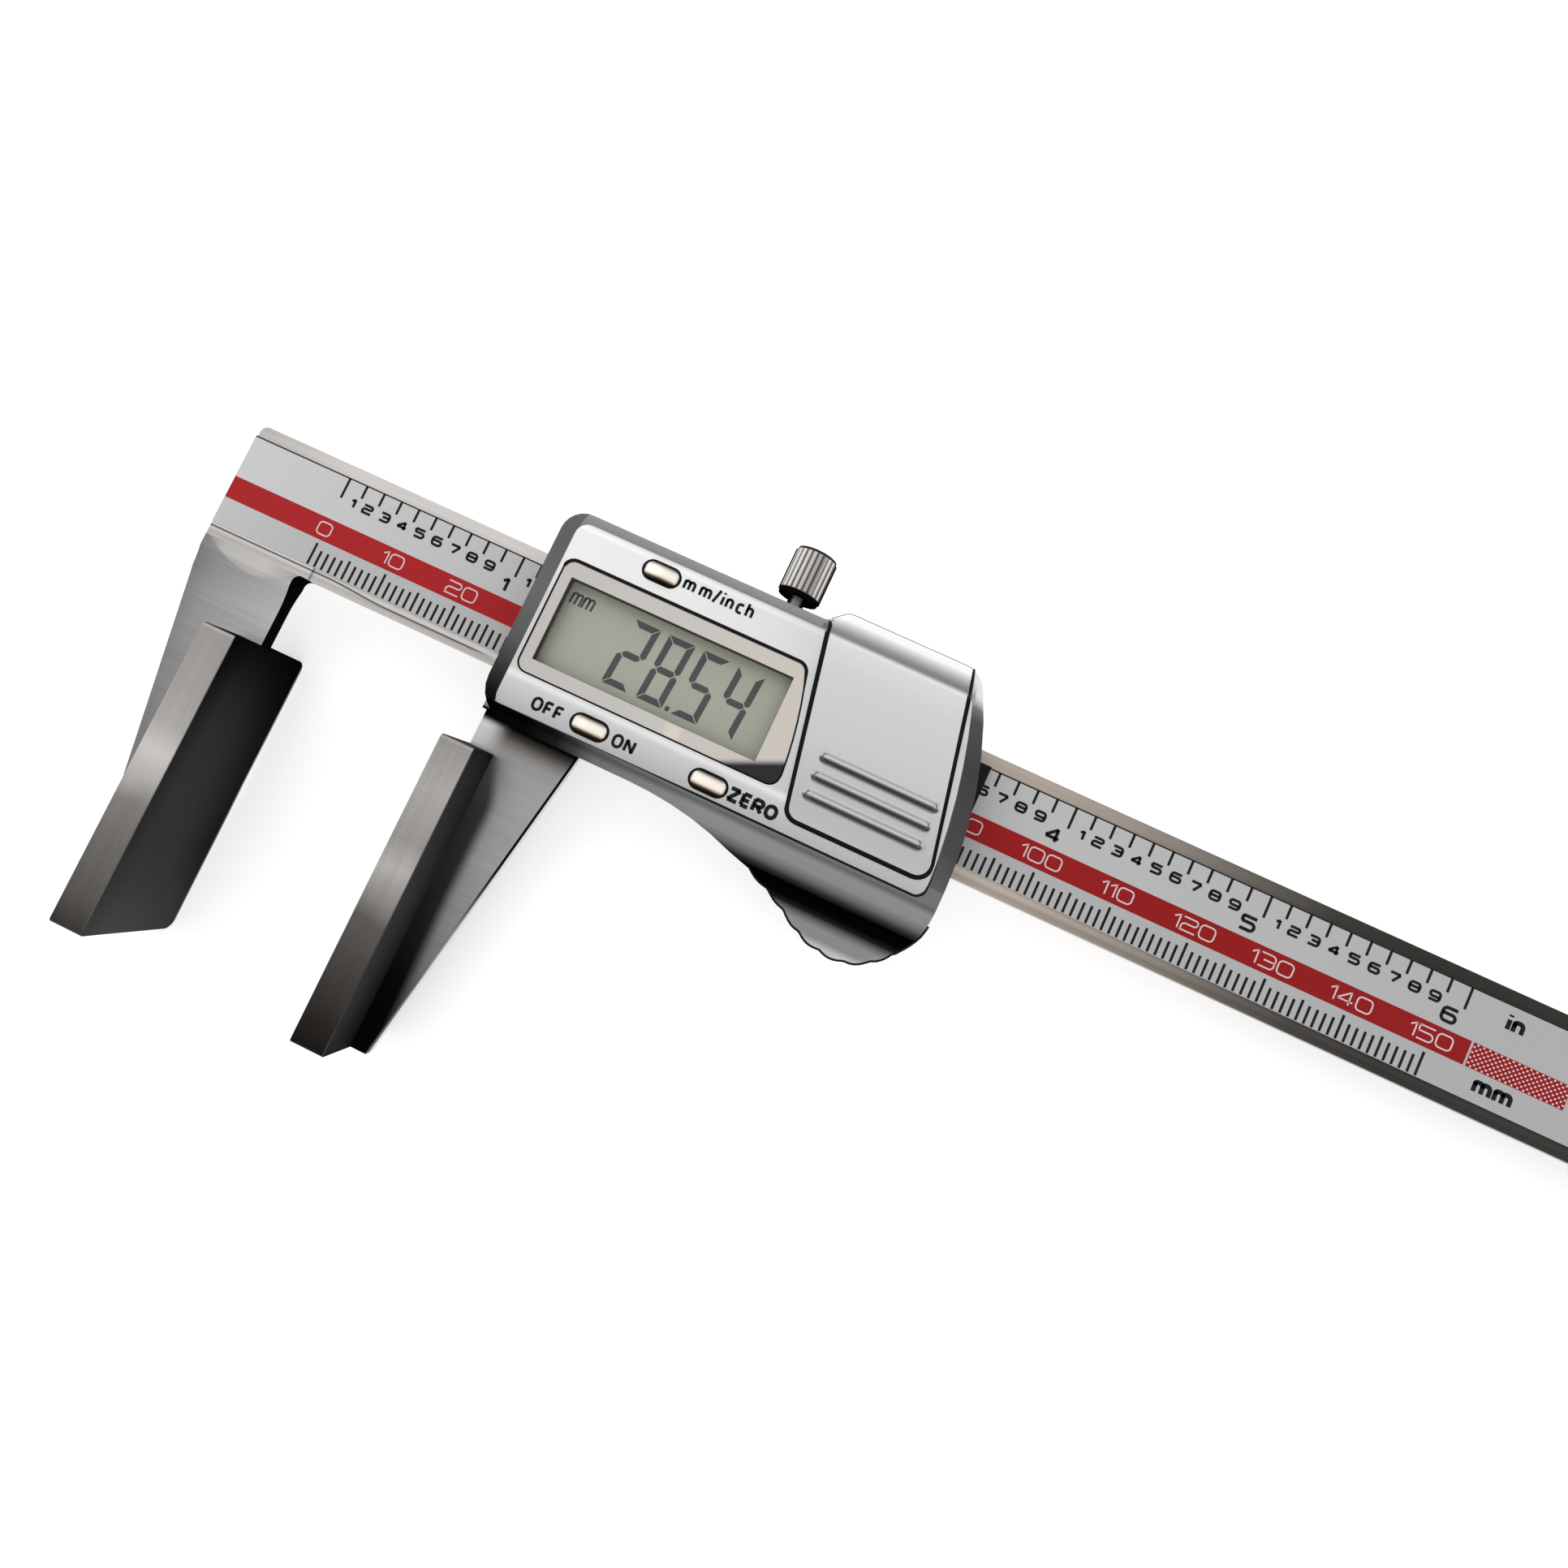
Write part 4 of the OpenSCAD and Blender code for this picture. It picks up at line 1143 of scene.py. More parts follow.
@dataclass(frozen=True)
class Stroke:
    """One line of a letter, on a grid one unit high."""

    points: tuple[Point, ...]
    closed: bool = False
    round: bool = True


def bar(*points: Point) -> Stroke:
    """A stroke with sharp ends and no rounding."""
    return Stroke(points, round=False)


LOOP = Stroke(((0, 0), (0, 1), (1, 1), (1, 0)), closed=True)
GLYPHS: dict[str, tuple[float, tuple[Stroke, ...]]] = {
    "0": (1.0, (LOOP,)),
    "1": (0.36, (bar((0, 0.76), (0.36, 1)), bar((0.36, 1.05), (0.36, 0)))),
    "2": (1.0, (Stroke(((0, 0.98), (1, 0.98), (1, 0.52), (0, 0.52), (0, 0.02))), bar((-0.06, 0), (1, 0)))),
    "3": (1.0, (Stroke(((0, 1), (1, 1), (1, 0), (0, 0))), bar((0.25, 0.52), (1, 0.52)))),
    "4": (1.0, (bar((0.76, 0), (0.76, 1)), bar((0.76, 0.98), (0, 0.3)), bar((0, 0.27), (1, 0.27)))),
    "5": (1.0, (bar((-0.02, 1), (1, 1)), Stroke(((0, 1), (0, 0.58))),
                Stroke(((0, 0.58), (1, 0.58), (1, 0), (0, 0))))),
    "6": (1.0, (Stroke(((1, 1), (0, 1), (0, 0), (1, 0), (1, 0.57), (0, 0.57))),)),
    "7": (1.0, (bar((0, 1), (1, 1)), bar((1, 0.98), (0.42, 0)))),
    "8": (1.0, (LOOP, bar((0, 0.52), (1, 0.52)))),
    "9": (1.0, (Stroke(((0, 0), (1, 0), (1, 1), (0, 1), (0, 0.43), (1, 0.43))),)),
    "m": (1.3, (Stroke(((0, 0), (0, 1))), Stroke(((0, 0.6), (0, 1), (0.65, 1), (0.65, 0))),
                Stroke(((0.65, 0.6), (0.65, 1), (1.3, 1), (1.3, 0))))),
    "n": (0.72, (Stroke(((0, 0), (0, 1))), Stroke(((0, 0.5), (0, 1), (0.72, 1), (0.72, 0))))),
    "h": (0.72, (Stroke(((0, 0), (0, 1.5))), Stroke(((0, 0.5), (0, 1), (0.72, 1), (0.72, 0))))),
    "i": (0.02, (bar((0.01, 0), (0.01, 1)), bar((0.01, 1.32), (0.01, 1.52)))),
    "c": (0.7, (Stroke(((0.7, 1), (0, 1), (0, 0), (0.7, 0))),)),
    "/": (0.5, (bar((0, -0.1), (0.5, 1.55)),)),
    "O": (0.74, (Stroke(((0, 0), (0, 1), (0.74, 1), (0.74, 0)), closed=True),)),
    "F": (0.56, (bar((0, 0), (0, 1)), bar((0, 1), (0.56, 1)), bar((0, 0.5), (0.48, 0.5)))),
    "N": (0.7, (bar((0, 0), (0, 1)), bar((0, 1), (0.7, 0)), bar((0.7, 0), (0.7, 1)))),
    "Z": (0.72, (bar((0, 1), (0.72, 1)), bar((0.72, 1), (0, 0)), bar((0, 0), (0.72, 0)))),
    "E": (0.56, (bar((0, 0), (0, 1)), bar((0, 1), (0.56, 1)), bar((0, 0.5), (0.5, 0.5)),
                 bar((0, 0), (0.56, 0)))),
    "R": (0.66, (bar((0, 0), (0, 1)), Stroke(((0, 1), (0.66, 1), (0.66, 0.46), (0, 0.46))),
                 bar((0.3, 0.46), (0.68, 0)))),
}


class Align(Enum):
    """Which end of a word its place names."""

    LEFT = 0.0
    CENTRE = 0.5
    RIGHT = 1.0


@dataclass(frozen=True)
class Lettering:
    """A style of stroke lettering, in millimetres."""

    height: float
    stretch: float = 1.0
    stroke: float = 0.2
    gap: float = 0.25
    corner: float = 0.3
    lean: float = 0.0

    def width(self, word: str) -> float:
        """Length of a word from its first stroke to its last."""
        cell = self.height * self.stretch
        return sum(GLYPHS[c][0] * cell for c in word) + self.gap * (len(word) - 1)

    def paths(self, word: str, at: Point, align: Align = Align.LEFT) -> list[Path]:
        """Stroke paths of a word.

        Args:
            word: letters that GLYPHS holds.
            at: the word's baseline place.
            align: which end of the word stands there.

        Returns:
            Each path with whether it is closed.
        """
        cell = self.height * self.stretch
        cursor = at[0] - self.width(word) * align.value
        made = []
        for letter in word:
            span, strokes = GLYPHS[letter]
            for stroke in strokes:
                points = [(cursor + px * cell, py * self.height) for px, py in stroke.points]
                radius = self.corner * self.height if stroke.round else 0.0
                path = rounded(points, radius, stroke.closed)
                made.append(([(px + py * self.lean, at[1] + py) for px, py in path], stroke.closed))
            cursor += span * cell + self.gap
        return made


@dataclass
class Workshop:
    """Shared trees and the piece log."""

    ribbons: RibbonTree = field(default_factory=RibbonTree)
    ticks: TickTree = field(default_factory=TickTree)
    checker: CheckerTree = field(default_factory=CheckerTree)

    def ribbon_mesh(
        self, paths: Iterable[Path], z: float, width: float, thickness: float, finish: Palette,
        swell: Optional[Callable[[float, float], float]] = None,
    ) -> bpy.types.Mesh:
        """Turns flat paths into ribbons.

        Args:
            paths: points in millimetres, each with whether the path is closed.
            z: height of the ribbon's middle, in millimetres, where a point has none of its own.
            width: width of the ribbon, in millimetres.
            thickness: thickness of the ribbon, in millimetres.
            finish: its finish.
            swell: share of the width at a place.
        """
        curve = bpy.data.curves.new("strokes", "CURVE")
        curve.dimensions = "3D"
        curve.twist_mode = "Z_UP"
        for path, closed in paths:
            spline = curve.splines.new("POLY")
            spline.points.add(len(path) - 1)
            for point, (px, py, *height) in zip(spline.points, path):
                point.co = (px * MM, py * MM, (height[0] if height else z) * MM, 1.0)
                point.radius = swell(px, py) if swell else 1.0
            spline.use_cyclic_u = closed
        carrier = bpy.data.objects.new("strokes", curve)
        values = {"Width": width * MM, "Thickness": thickness * MM, "Material": finish.value.material()}
        return self.ribbons.bake(carrier, values)

    def prism_mesh(
        self, outlines: Iterable[Sequence[Point]], z0: float, z1: float, finish: Palette
    ) -> bpy.types.Mesh:
        """Upright prisms on flat outlines, in millimetres.

        Args:
            outlines: corner points of each prism.
            z0: lower height.
            z1: upper height.
            finish: its finish.
        """
        made = bmesh.new()
        for outline in outlines:
            floor = [made.verts.new((px * MM, py * MM, z0 * MM)) for px, py in outline]
            base = made.faces.new(floor)
            raised = bmesh.ops.extrude_face_region(made, geom=[base])["geom"]
            top = [item for item in raised if isinstance(item, bmesh.types.BMVert)]
            bmesh.ops.translate(made, vec=(0, 0, (z1 - z0) * MM), verts=top)
        bmesh.ops.recalc_face_normals(made, faces=made.faces)
        mesh = bpy.data.meshes.new("prisms")
        made.to_mesh(mesh)
        made.free()
        mesh.materials.append(finish.value.material())
        return mesh

    def piece(
        self, name: str, meshes: Sequence[bpy.types.Mesh], finish: Palette, body: Body, slot: str
    ) -> bpy.types.Object:
        """Joins meshes of one finish into a named piece on a body.

        Args:
            name: name of the piece.
            meshes: meshes to join.
            finish: finish of all of them.
            body: body that it rides on.
            slot: not used.
        """
        made = bmesh.new()
        for mesh in meshes:
            made.from_mesh(mesh)
        joined = bpy.data.meshes.new(name)
        made.to_mesh(joined)
        made.free()
        joined.materials.append(finish.value.material())
        joined.polygons.foreach_set("material_index", [0] * len(joined.polygons))
        piece = bpy.data.objects.new(name, joined)
        bpy.context.scene.collection.objects.link(piece)
        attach(piece, body.value)
        LOG.info("%s: %d faces on %s", name, len(joined.polygons), body.value)
        return piece


@dataclass
class ScalePrint:
    """The print on the scale sheet, measured from its zero mark and its middle line, in millimetres."""

    shop: Workshop
    ink: float = 0.02
    mm_count: int = 151
    inch: float = 25.4
    tenth_count: int = 61
    edge: float = 6.2
    tick_w: float = 0.32
    mm_short: float = 2.25
    mm_middle: float = 2.6
    mm_long: float = 3.0
    inch_short: float = 1.8
    inch_long: float = 2.8
    band_top: float = 0.32
    band_low: float = -2.68
    band_end: float = 154.55
    checker_gap: float = 0.3
    checker_w: float = 12.0
    checker_step: float = 0.375
    checker_fill: float = 0.64
    digit_back: float = 0.52
    tenth_low: float = 2.9
    inch_low: float = 1.22
    inch_word: Point = (157.65, 3.35)
    mm_word: Point = (156.7, -5.0)
    margin: float = 0.05
    rule_low: float = -0.08
    rule_high: float = 0.09
    numerals: Lettering = Lettering(height=1.66, stretch=1.12, stroke=0.19, gap=0.42, corner=0.3)
    tenths: Lettering = Lettering(height=1.02, stretch=1.2, stroke=0.33, gap=0.2, corner=0.32)
    inches: Lettering = Lettering(height=1.58, stretch=1.06, stroke=0.4, gap=0.2, corner=0.32)
    units: Lettering = Lettering(height=1.18, stretch=1.2, stroke=0.54, gap=0.66, corner=0.36)

    def level(self) -> float:
        """Height of the sheet's surface."""
        return corners("scale_sheet")[1].z

    def strip(self, x0: float, x1: float, y0: float, y1: float) -> list[Point]:
        """Corners of a rectangle on the sheet."""
        return [(x0, BEAM_Y + y0), (x1, BEAM_Y + y0), (x1, BEAM_Y + y1), (x0, BEAM_Y + y1)]

    def lettering(
        self, style: Lettering, words: Iterable[tuple[str, Point, Align]], finish: Palette, lift: float
    ) -> bpy.types.Mesh:
        """Ribbon mesh for several words in one style, at a height above the sheet."""
        paths = [path for word, at, align in words for path in style.paths(word, at, align)]
        return self.shop.ribbon_mesh(paths, self.level() + lift, style.stroke, self.ink, finish)

    def graduation(
        self, count: int, pitch: float, side: int, lengths: Sequence[float],
        every: tuple[int, int] = (5, 10),
    ) -> bpy.types.Mesh:
        """Row of marks from one edge of the sheet.

        Args:
            count: number of marks.
            pitch: distance between them.
            side: 1 for marks that rise from the lower edge, -1 for marks that hang from the upper one.
            lengths: short, middle and long length.
            every: number of marks from one middle mark, and from one long mark, to the next.
        """
        carrier = bpy.data.objects.new("ticks", bpy.data.meshes.new("ticks"))
        short, middle, long = lengths
        start = Vector((0, BEAM_Y - side * self.edge, self.level() + self.ink / 2)) * MM
        values = {
            "Count": count, "Pitch": pitch * MM, "Start": start, "Short": short * MM, "Middle": middle * MM,
            "Long": long * MM, "Every Middle": every[0], "Every Long": every[1], "Width": self.tick_w * MM,
            "Thickness": self.ink * MM, "Side": float(side), "Material": Palette.BLACK.value.material(),
        }
        return self.shop.ticks.bake(carrier, values)

    def build(self) -> None:
        """Makes the band, the marks, the numbers and the unit words."""
        left, right = (corner.x for corner in corners("scale_sheet"))
        left, right = left + self.margin, right - self.margin
        top = self.level()
        checker_x = self.band_end + self.checker_gap
        fields = [
            self.strip(x0, x1, self.band_low, self.band_top)
            for x0, x1 in ((left, self.band_end), (checker_x, checker_x + self.checker_w))
        ]
        red = self.shop.prism_mesh(fields, top, top + self.ink, Palette.RED)
        self.shop.piece("red_band", [red], Palette.RED, Body.BEAM, "scale_print")

        middle = BEAM_Y + (self.band_top + self.band_low) / 2
        base = middle - self.numerals.height / 2
        words = [(str(n), (float(n), base), Align.CENTRE) for n in range(0, self.mm_count, 10)]
        white = self.lettering(self.numerals, words, Palette.WHITE, self.ink * 1.5)
        squares = self.squares(checker_x + self.checker_w / 2, middle)
        self.shop.piece("white_numbers", [white, squares], Palette.WHITE, Body.BEAM, "scale_print")

        marks = [
            self.graduation(self.mm_count, 1.0, 1, (self.mm_short, self.mm_middle, self.mm_long)),
            self.graduation(
                self.tenth_count, self.inch / 10, -1, (self.inch_short, self.inch_short, self.inch_long)
            ),
        ]
        self.shop.piece("graduations", marks, Palette.BLACK, Body.BEAM, "scale_print")

        tenths, inches = [], []
        for k in range(1, self.tenth_count):
            at = k * self.inch / 10 - self.digit_back
            if k % 10:
                tenths.append((str(k % 10), (at, BEAM_Y + self.tenth_low), Align.RIGHT))
            else:
                inches.append((str(k // 10), (at, BEAM_Y + self.inch_low), Align.RIGHT))
        places = (("in", self.inch_word), ("mm", self.mm_word))
        units = [(word, (x, BEAM_Y + y), Align.LEFT) for word, (x, y) in places]
        styles = ((self.tenths, tenths), (self.inches, inches), (self.units, units))
        digits = [self.lettering(style, words, Palette.BLACK, self.ink / 2) for style, words in styles]
        rule = self.strip(left, right, self.edge + self.rule_low, self.edge + self.rule_high)
        digits.append(self.shop.prism_mesh([rule], top, top + self.ink, Palette.BLACK))
        self.shop.piece("black_numbers", digits, Palette.BLACK, Body.BEAM, "scale_print")

    def squares(self, x: float, y: float) -> bpy.types.Mesh:
        """White squares of the checkered field.

        Args:
            x: middle of the field along the beam.
            y: middle of the field across it.
        """
        sides = (self.checker_w, self.band_top - self.band_low)
        counts = [round(side / self.checker_step) for side in sides]
        columns, rows = (count + 1 - count % 2 for count in counts)
        span = Vector((*(side - self.checker_step for side in sides), 0))
        square = Vector((span.x / (columns - 1), span.y / (rows - 1), 0)) * self.checker_fill
        square.z = self.ink
        centre = Vector((x, y, self.level() + self.ink * 1.5))
        values = {
            "Columns": columns, "Rows": rows, "Size": span * MM, "Square": square * MM,
            "Centre": centre * MM, "Material": Palette.WHITE.value.material(),
        }
        carrier = bpy.data.objects.new("checker", bpy.data.meshes.new("checker"))
        return self.shop.checker.bake(carrier, values)


@dataclass
class DisplayPrint:
    """Liquid crystal digits on the display panel, in millimetres."""

    shop: Workshop
    reading: str = "2854"
    point_after: int = 1
    left: float = 14.45
    pitch: float = 4.6
    width: float = 3.45
    low: float = -4.57
    high: float = 3.98
    bar: float = 0.8
    lean: float = 0.067
    cut: float = 0.09
    sag: float = 0.08
    point_back: float = 0.78
    point_w: float = 0.5
    point_h: float = 0.6
    point_lean: float = 0.03
    unit_at: Point = (6.75, 2.5)
    unit: Lettering = Lettering(height=1.36, stretch=0.7, stroke=0.28, gap=0.34, corner=0.2, lean=0.07)
    ink: float = 0.02

    def segments(self, digit: str) -> list[list[Point]]:
        """Outlines of the lit segments of one digit, on its upright cell."""
        w, h, t, c = self.width, self.high - self.low, self.bar, self.cut
        middle = h / 2 - self.sag
        over, under = middle + t / 2, middle - t / 2
        shapes = {
            "a": [(c, h), (w - c, h), (w - t - c, h - t), (t + c, h - t)],
            "d": [(t + c, t), (w - t - c, t), (w - c, 0), (c, 0)],
            "g": [(t * 0.55 + c, middle), (t + c, over), (w - t - c, over),
                  (w - t * 0.55 - c, middle), (w - t - c, under), (t + c, under)],
            "f": [(0, h - c), (t, h - t - c), (t, over + c), (t / 2, middle + c), (0, over)],
            "e": [(0, c), (0, under), (t / 2, middle - c), (t, under - c), (t, t + c)],
        }
        shapes["b"] = [(w - px, py) for px, py in reversed(shapes["f"])]
        shapes["c"] = [(w - px, py) for px, py in reversed(shapes["e"])]
        lit = {"2": "abged", "8": "abcdefg", "5": "afgcd", "4": "fgbc"}[digit]
        return [shapes[name] for name in lit]

    def build(self) -> None:
        """Makes the digits, the point and the small unit word."""
        base = corners("display_panel")[1].z
        origin = SLIDER_X + self.left
        y = BEAM_Y + self.low
        outlines = []
        for i, digit in enumerate(self.reading):
            x = origin + i * self.pitch
            for shape in self.segments(digit):
                outlines.append([(x + px + py * self.lean, y + py) for px, py in shape])
        x = origin + (self.point_after + 1) * self.pitch - self.point_back
        x_top, y_top = x + self.point_lean, y + self.point_h
        outlines.append([(x, y), (x + self.point_w, y), (x_top + self.point_w, y_top), (x_top, y_top)])
        mesh = self.shop.prism_mesh(outlines, base, base + self.ink, Palette.SEGMENT)
        self.shop.piece("display_digits", [mesh], Palette.SEGMENT, Body.SLIDER, "display_grey")
        paths = self.unit.paths("mm", (SLIDER_X + self.unit_at[0], BEAM_Y + self.unit_at[1]))
        small = self.shop.ribbon_mesh(paths, base + self.ink / 2, self.unit.stroke, self.ink, Palette.FAINT)
        self.shop.piece("display_unit_word", [small], Palette.FAINT, Body.SLIDER, "display_grey")


@dataclass
class FacePrint:
    """Words beside the buttons, in millimetres."""

    shop: Workshop
    ink: float = 0.03
    bold: Lettering = Lettering(height=1.36, stretch=1.18, stroke=0.47, gap=0.54, corner=0.42)
    light: Lettering = Lettering(height=1.38, stretch=1.0, stroke=0.36, gap=0.56, corner=0.42)
    small: Lettering = Lettering(height=1.0, stretch=0.94, stroke=0.34, gap=0.57, corner=0.3)
    upper: float = 9.5
    lower: float = -11.0

    def build(self) -> None:
        """Prints the button words on the face."""
        middle = FACE_Z + self.ink / 2
        groups = [
            (self.small, self.upper, [("m", 18.95), ("m/in", 21.05), ("ch", 25.85)]),
            (self.light, self.lower, [("OFF", 8.75), ("ON", 19.35)]),
            (self.bold, self.lower + 0.02, [("ZERO", 34.4)]),
        ]
        meshes = []
        for style, row, words in groups:
            paths = [path for word, x in words for path in style.paths(word, (SLIDER_X + x, BEAM_Y + row))]
            meshes.append(self.shop.ribbon_mesh(paths, middle, style.stroke, self.ink, Palette.BLACK))
        self.shop.piece("button_words", meshes, Palette.BLACK, Body.SLIDER, "housing_plastic")


@dataclass
class SeamLines:
    """Painted shade lines in the seams of the housing and along some of its edges, found from the edges of
    its face, in millimetres.
    """

    shop: Workshop
    face_width: float = 0.28
    seam_width: float = 0.42
    key_width: float = 0.36
    cover_width: float = 0.38
    back_width: float = 0.1
    rim_width: float = 0.5
    key_round: float = 16.0
    ridge_rise: float = 0.45
    thickness: float = 0.02
    outline_low: float = -9.0
    outline_in: float = 0.44
    corner_r: float = 1.6
    bezel_top: float = 6.2
    bezel_beside: float = 0.5
    cover_foot: float = -9.0
    grip_low: float = -14.5
    roll_low: float = 11.2
    roll_back: float = 12.0
    back_low: float = 7.55
    back_high: float = 7.7
    back_step: float = 0.2
    ring_length: float = 30.0
    outline_from: float = 16.0
    outline_fade: float = 16.0
    rim_from: float = 33.0
    rim_fade: float = 8.0
    tail_length: float = 6.0
    tail_rise: float = 1.5
    tail_ends: tuple[Point, ...] = ((0.0, -9.5), (-0.1, -7.4))

    @staticmethod
    def solid(node: str) -> bmesh.types.BMesh:
        """Mesh of a CAD node in its place, in millimetres, with its doubled points joined."""
        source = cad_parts[node]
        made = bmesh.new()
        made.from_mesh(source.data)
        made.transform(source.matrix_world)
        bmesh.ops.scale(made, vec=(1 / MM,) * 3, verts=made.verts)
        bmesh.ops.remove_doubles(made, verts=made.verts, dist=0.002)
        made.normal_update()
        return made

    def edges(self, node: str, level: float, upright: bool) -> list[Edge]:
        """Edges of the flat face at one level.

        Args:
            node: CAD node to search.
            level: height of its face.
            upright: True for edges of upright walls, False for edges of a slope.

        Returns:
            Both ends and the outward direction of each edge, flat.
        """
        made = self.solid(node)
        found = []
        for edge in made.edges:
            if len(edge.link_faces) != 2 or any(abs(v.co.z - level) > 0.01 for v in edge.verts):
                continue
            flat = [f for f in edge.link_faces if f.normal.z > 0.999]
            other = [f for f in edge.link_faces if f.normal.z <= 0.999]
            if len(flat) == len(other) == 1 and (abs(other[0].normal.z) < 0.05) == upright:
                ends = [v.co.to_2d() for v in edge.verts]
                found.append((ends[0], ends[1], other[0].normal.to_2d().normalized()))
        made.free()
        return found

    def chains(self, edges: list[Edge], shift: Point) -> list[Path]:
        """Joins edges end to end.

        Args:
            edges: what edges() returns.
            shift: distances to move each point outward along X and Y.

        Returns:
            Paths, each with whether it closes.
        """
        links: dict[tuple[int, int], list[tuple[tuple[int, int], Vector]]] = {}
        spots: dict[tuple[int, int], Vector] = {}
        for a, b, outward in edges:
            keys = [(round(p.x * 200), round(p.y * 200)) for p in (a, b)]
            if keys[0] == keys[1]:
                continue
            for key, other, spot in ((keys[0], keys[1], a), (keys[1], keys[0], b)):
                links.setdefault(key, []).append((other, outward))
                spots[key] = spot
        paths = []
        left = dict.fromkeys(sorted(links, key=lambda key: (len(links[key]) != 1, key)))
        while left:
            key: Optional[tuple[int, int]] = next(iter(left))
            first, path = key, []
            while key is not None:
                left.pop(key)
                outward = sum((o for _, o in links[key]), Vector((0, 0))).normalized()
                path.append((spots[key].x + outward.x * shift[0], spots[key].y + outward.y * shift[1]))
                last, key = key, next((k for k, _ in links[key] if k in left), None)
            if len(path) > 2:
                paths.append((path, any(k == first for k, _ in links[last])))
        return paths

    def wall_rim(
        self, node: str, wanted: Callable[[Vector, Vector, Vector], bool], key: Callable[[Vector], float]
    ) -> list[Path]:
        """Path along the edge where an upright wall meets a rounded surface.

        Args:
            node: CAD node to search.
            wanted: whether an edge belongs, told by its middle and the normals of its wall and its slope.
            key: place of a point along the path.
        """
        made = self.solid(node)
        spots = []
        for edge in made.edges:
            middle = (edge.verts[0].co + edge.verts[1].co) / 2
            if len(edge.link_faces) == 2:
                wall, slope = sorted(edge.link_faces, key=lambda face: face.normal.z)
                if abs(wall.normal.z) < 0.09 < slope.normal.z and wanted(middle, wall.normal, slope.normal):
                    spots += [vertex.co.copy() for vertex in edge.verts]
        made.free()
        spaced: list[Vector] = []
        for spot in sorted(spots, key=key):
            if not spaced or (spot - spaced[-1]).length > 0.02:
                spaced.append(spot)
        return [([tuple(spot) for spot in spaced], False)]

    def grip_rim(self) -> list[Path]:
        """Path along the scalloped edge of the thumb grip, where its upright wall ends."""
        return self.wall_rim(
            "housing",
            lambda middle, wall, slope: middle.y < BEAM_Y + self.grip_low and middle.z > 1.5,
            lambda spot: spot.x,
        )

    def cover_sides(self) -> list[Path]:
        """Paths over the rolled edge at both sides of the cover."""
        paths = []
        for side, inward in ((-1, 0.05), (1, -0.08)):
            found = self.wall_rim(
                "battery_cover",
                lambda middle, wall, slope: wall.x * side > 0.9 and slope.x * side < 0.5
                and middle.z > 7.5 and middle.y > BEAM_Y + self.roll_low,
                lambda spot: spot.y,
            )
            for path, closed in found:
                paths.append(([(px + inward, py, pz + 0.02) for px, py, pz in path], closed))
        return paths

    def cover_ring(self) -> list[Path]:
        """Path round the cover's flat top, up to its rolled edge."""
        top = corners("battery_cover")[1].z - self.ridge_rise
        ring = self.chains(self.edges("battery_cover", top, True), (-0.05, -0.05))
        return [path for path in ring if self.length(path[0]) > self.ring_length]

    def cover_back(self) -> list[Path]:
        """Path along the back of the cover's rolled edge."""
        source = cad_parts["battery_cover"]
        spots = [source.matrix_world @ vertex.co / MM for vertex in source.data.vertices]
        spots = sorted(
            (p.x, p.y + 0.01, p.z)
            for p in spots
            if self.back_low < p.z < self.back_high and p.y > BEAM_Y + self.roll_back
        )
        spaced = spots[:1]
        for spot in spots[1:]:
            if spot[0] > spaced[-1][0] + self.back_step:
                spaced.append(spot)
        return [(spaced, False)]

    def seam_share(self, x: float, y: float) -> float:
        """Share of the seam's width: widest above the bezel and at the foot of the cover."""
        v = y - BEAM_Y
        if x < corners("bezel")[1].x + self.bezel_beside:
            return 1.0 if v > self.bezel_top else 0.4
        return 1.05 if v < self.cover_foot else 0.75

    def outline_share(self, x: float, y: float) -> float:
        """Share of the outline's width, which starts at the second button and fades up the right side."""
        rise = (y - BEAM_Y + 11.5) / 3.0
        along = (x - SLIDER_X - self.outline_from) / self.outline_fade
        return max(0.05, min(1.0, along, 1.0 - rise))

    def cover_share(self, x: float, y: float) -> float:
        """Share of the width beside the cover, which grows towards the rolled edge."""
        return min(1.4, 1.02 + (y - BEAM_Y - self.roll_low) * 0.2)

    def ring_share(self, x: float, y: float) -> float:
        """Share of the width round the cover: widest at the foot and towards the rolled edge."""
        v = y - BEAM_Y
        return 0.85 if v < -8.5 else 0.62 + max(0.0, v) * 0.035

    def rim_share(self, x: float, y: float) -> float:
        """Share of the grip line's width, which fades in from the left."""
        return max(0.02, min(1.0, (x - SLIDER_X - self.rim_from) / self.rim_fade))

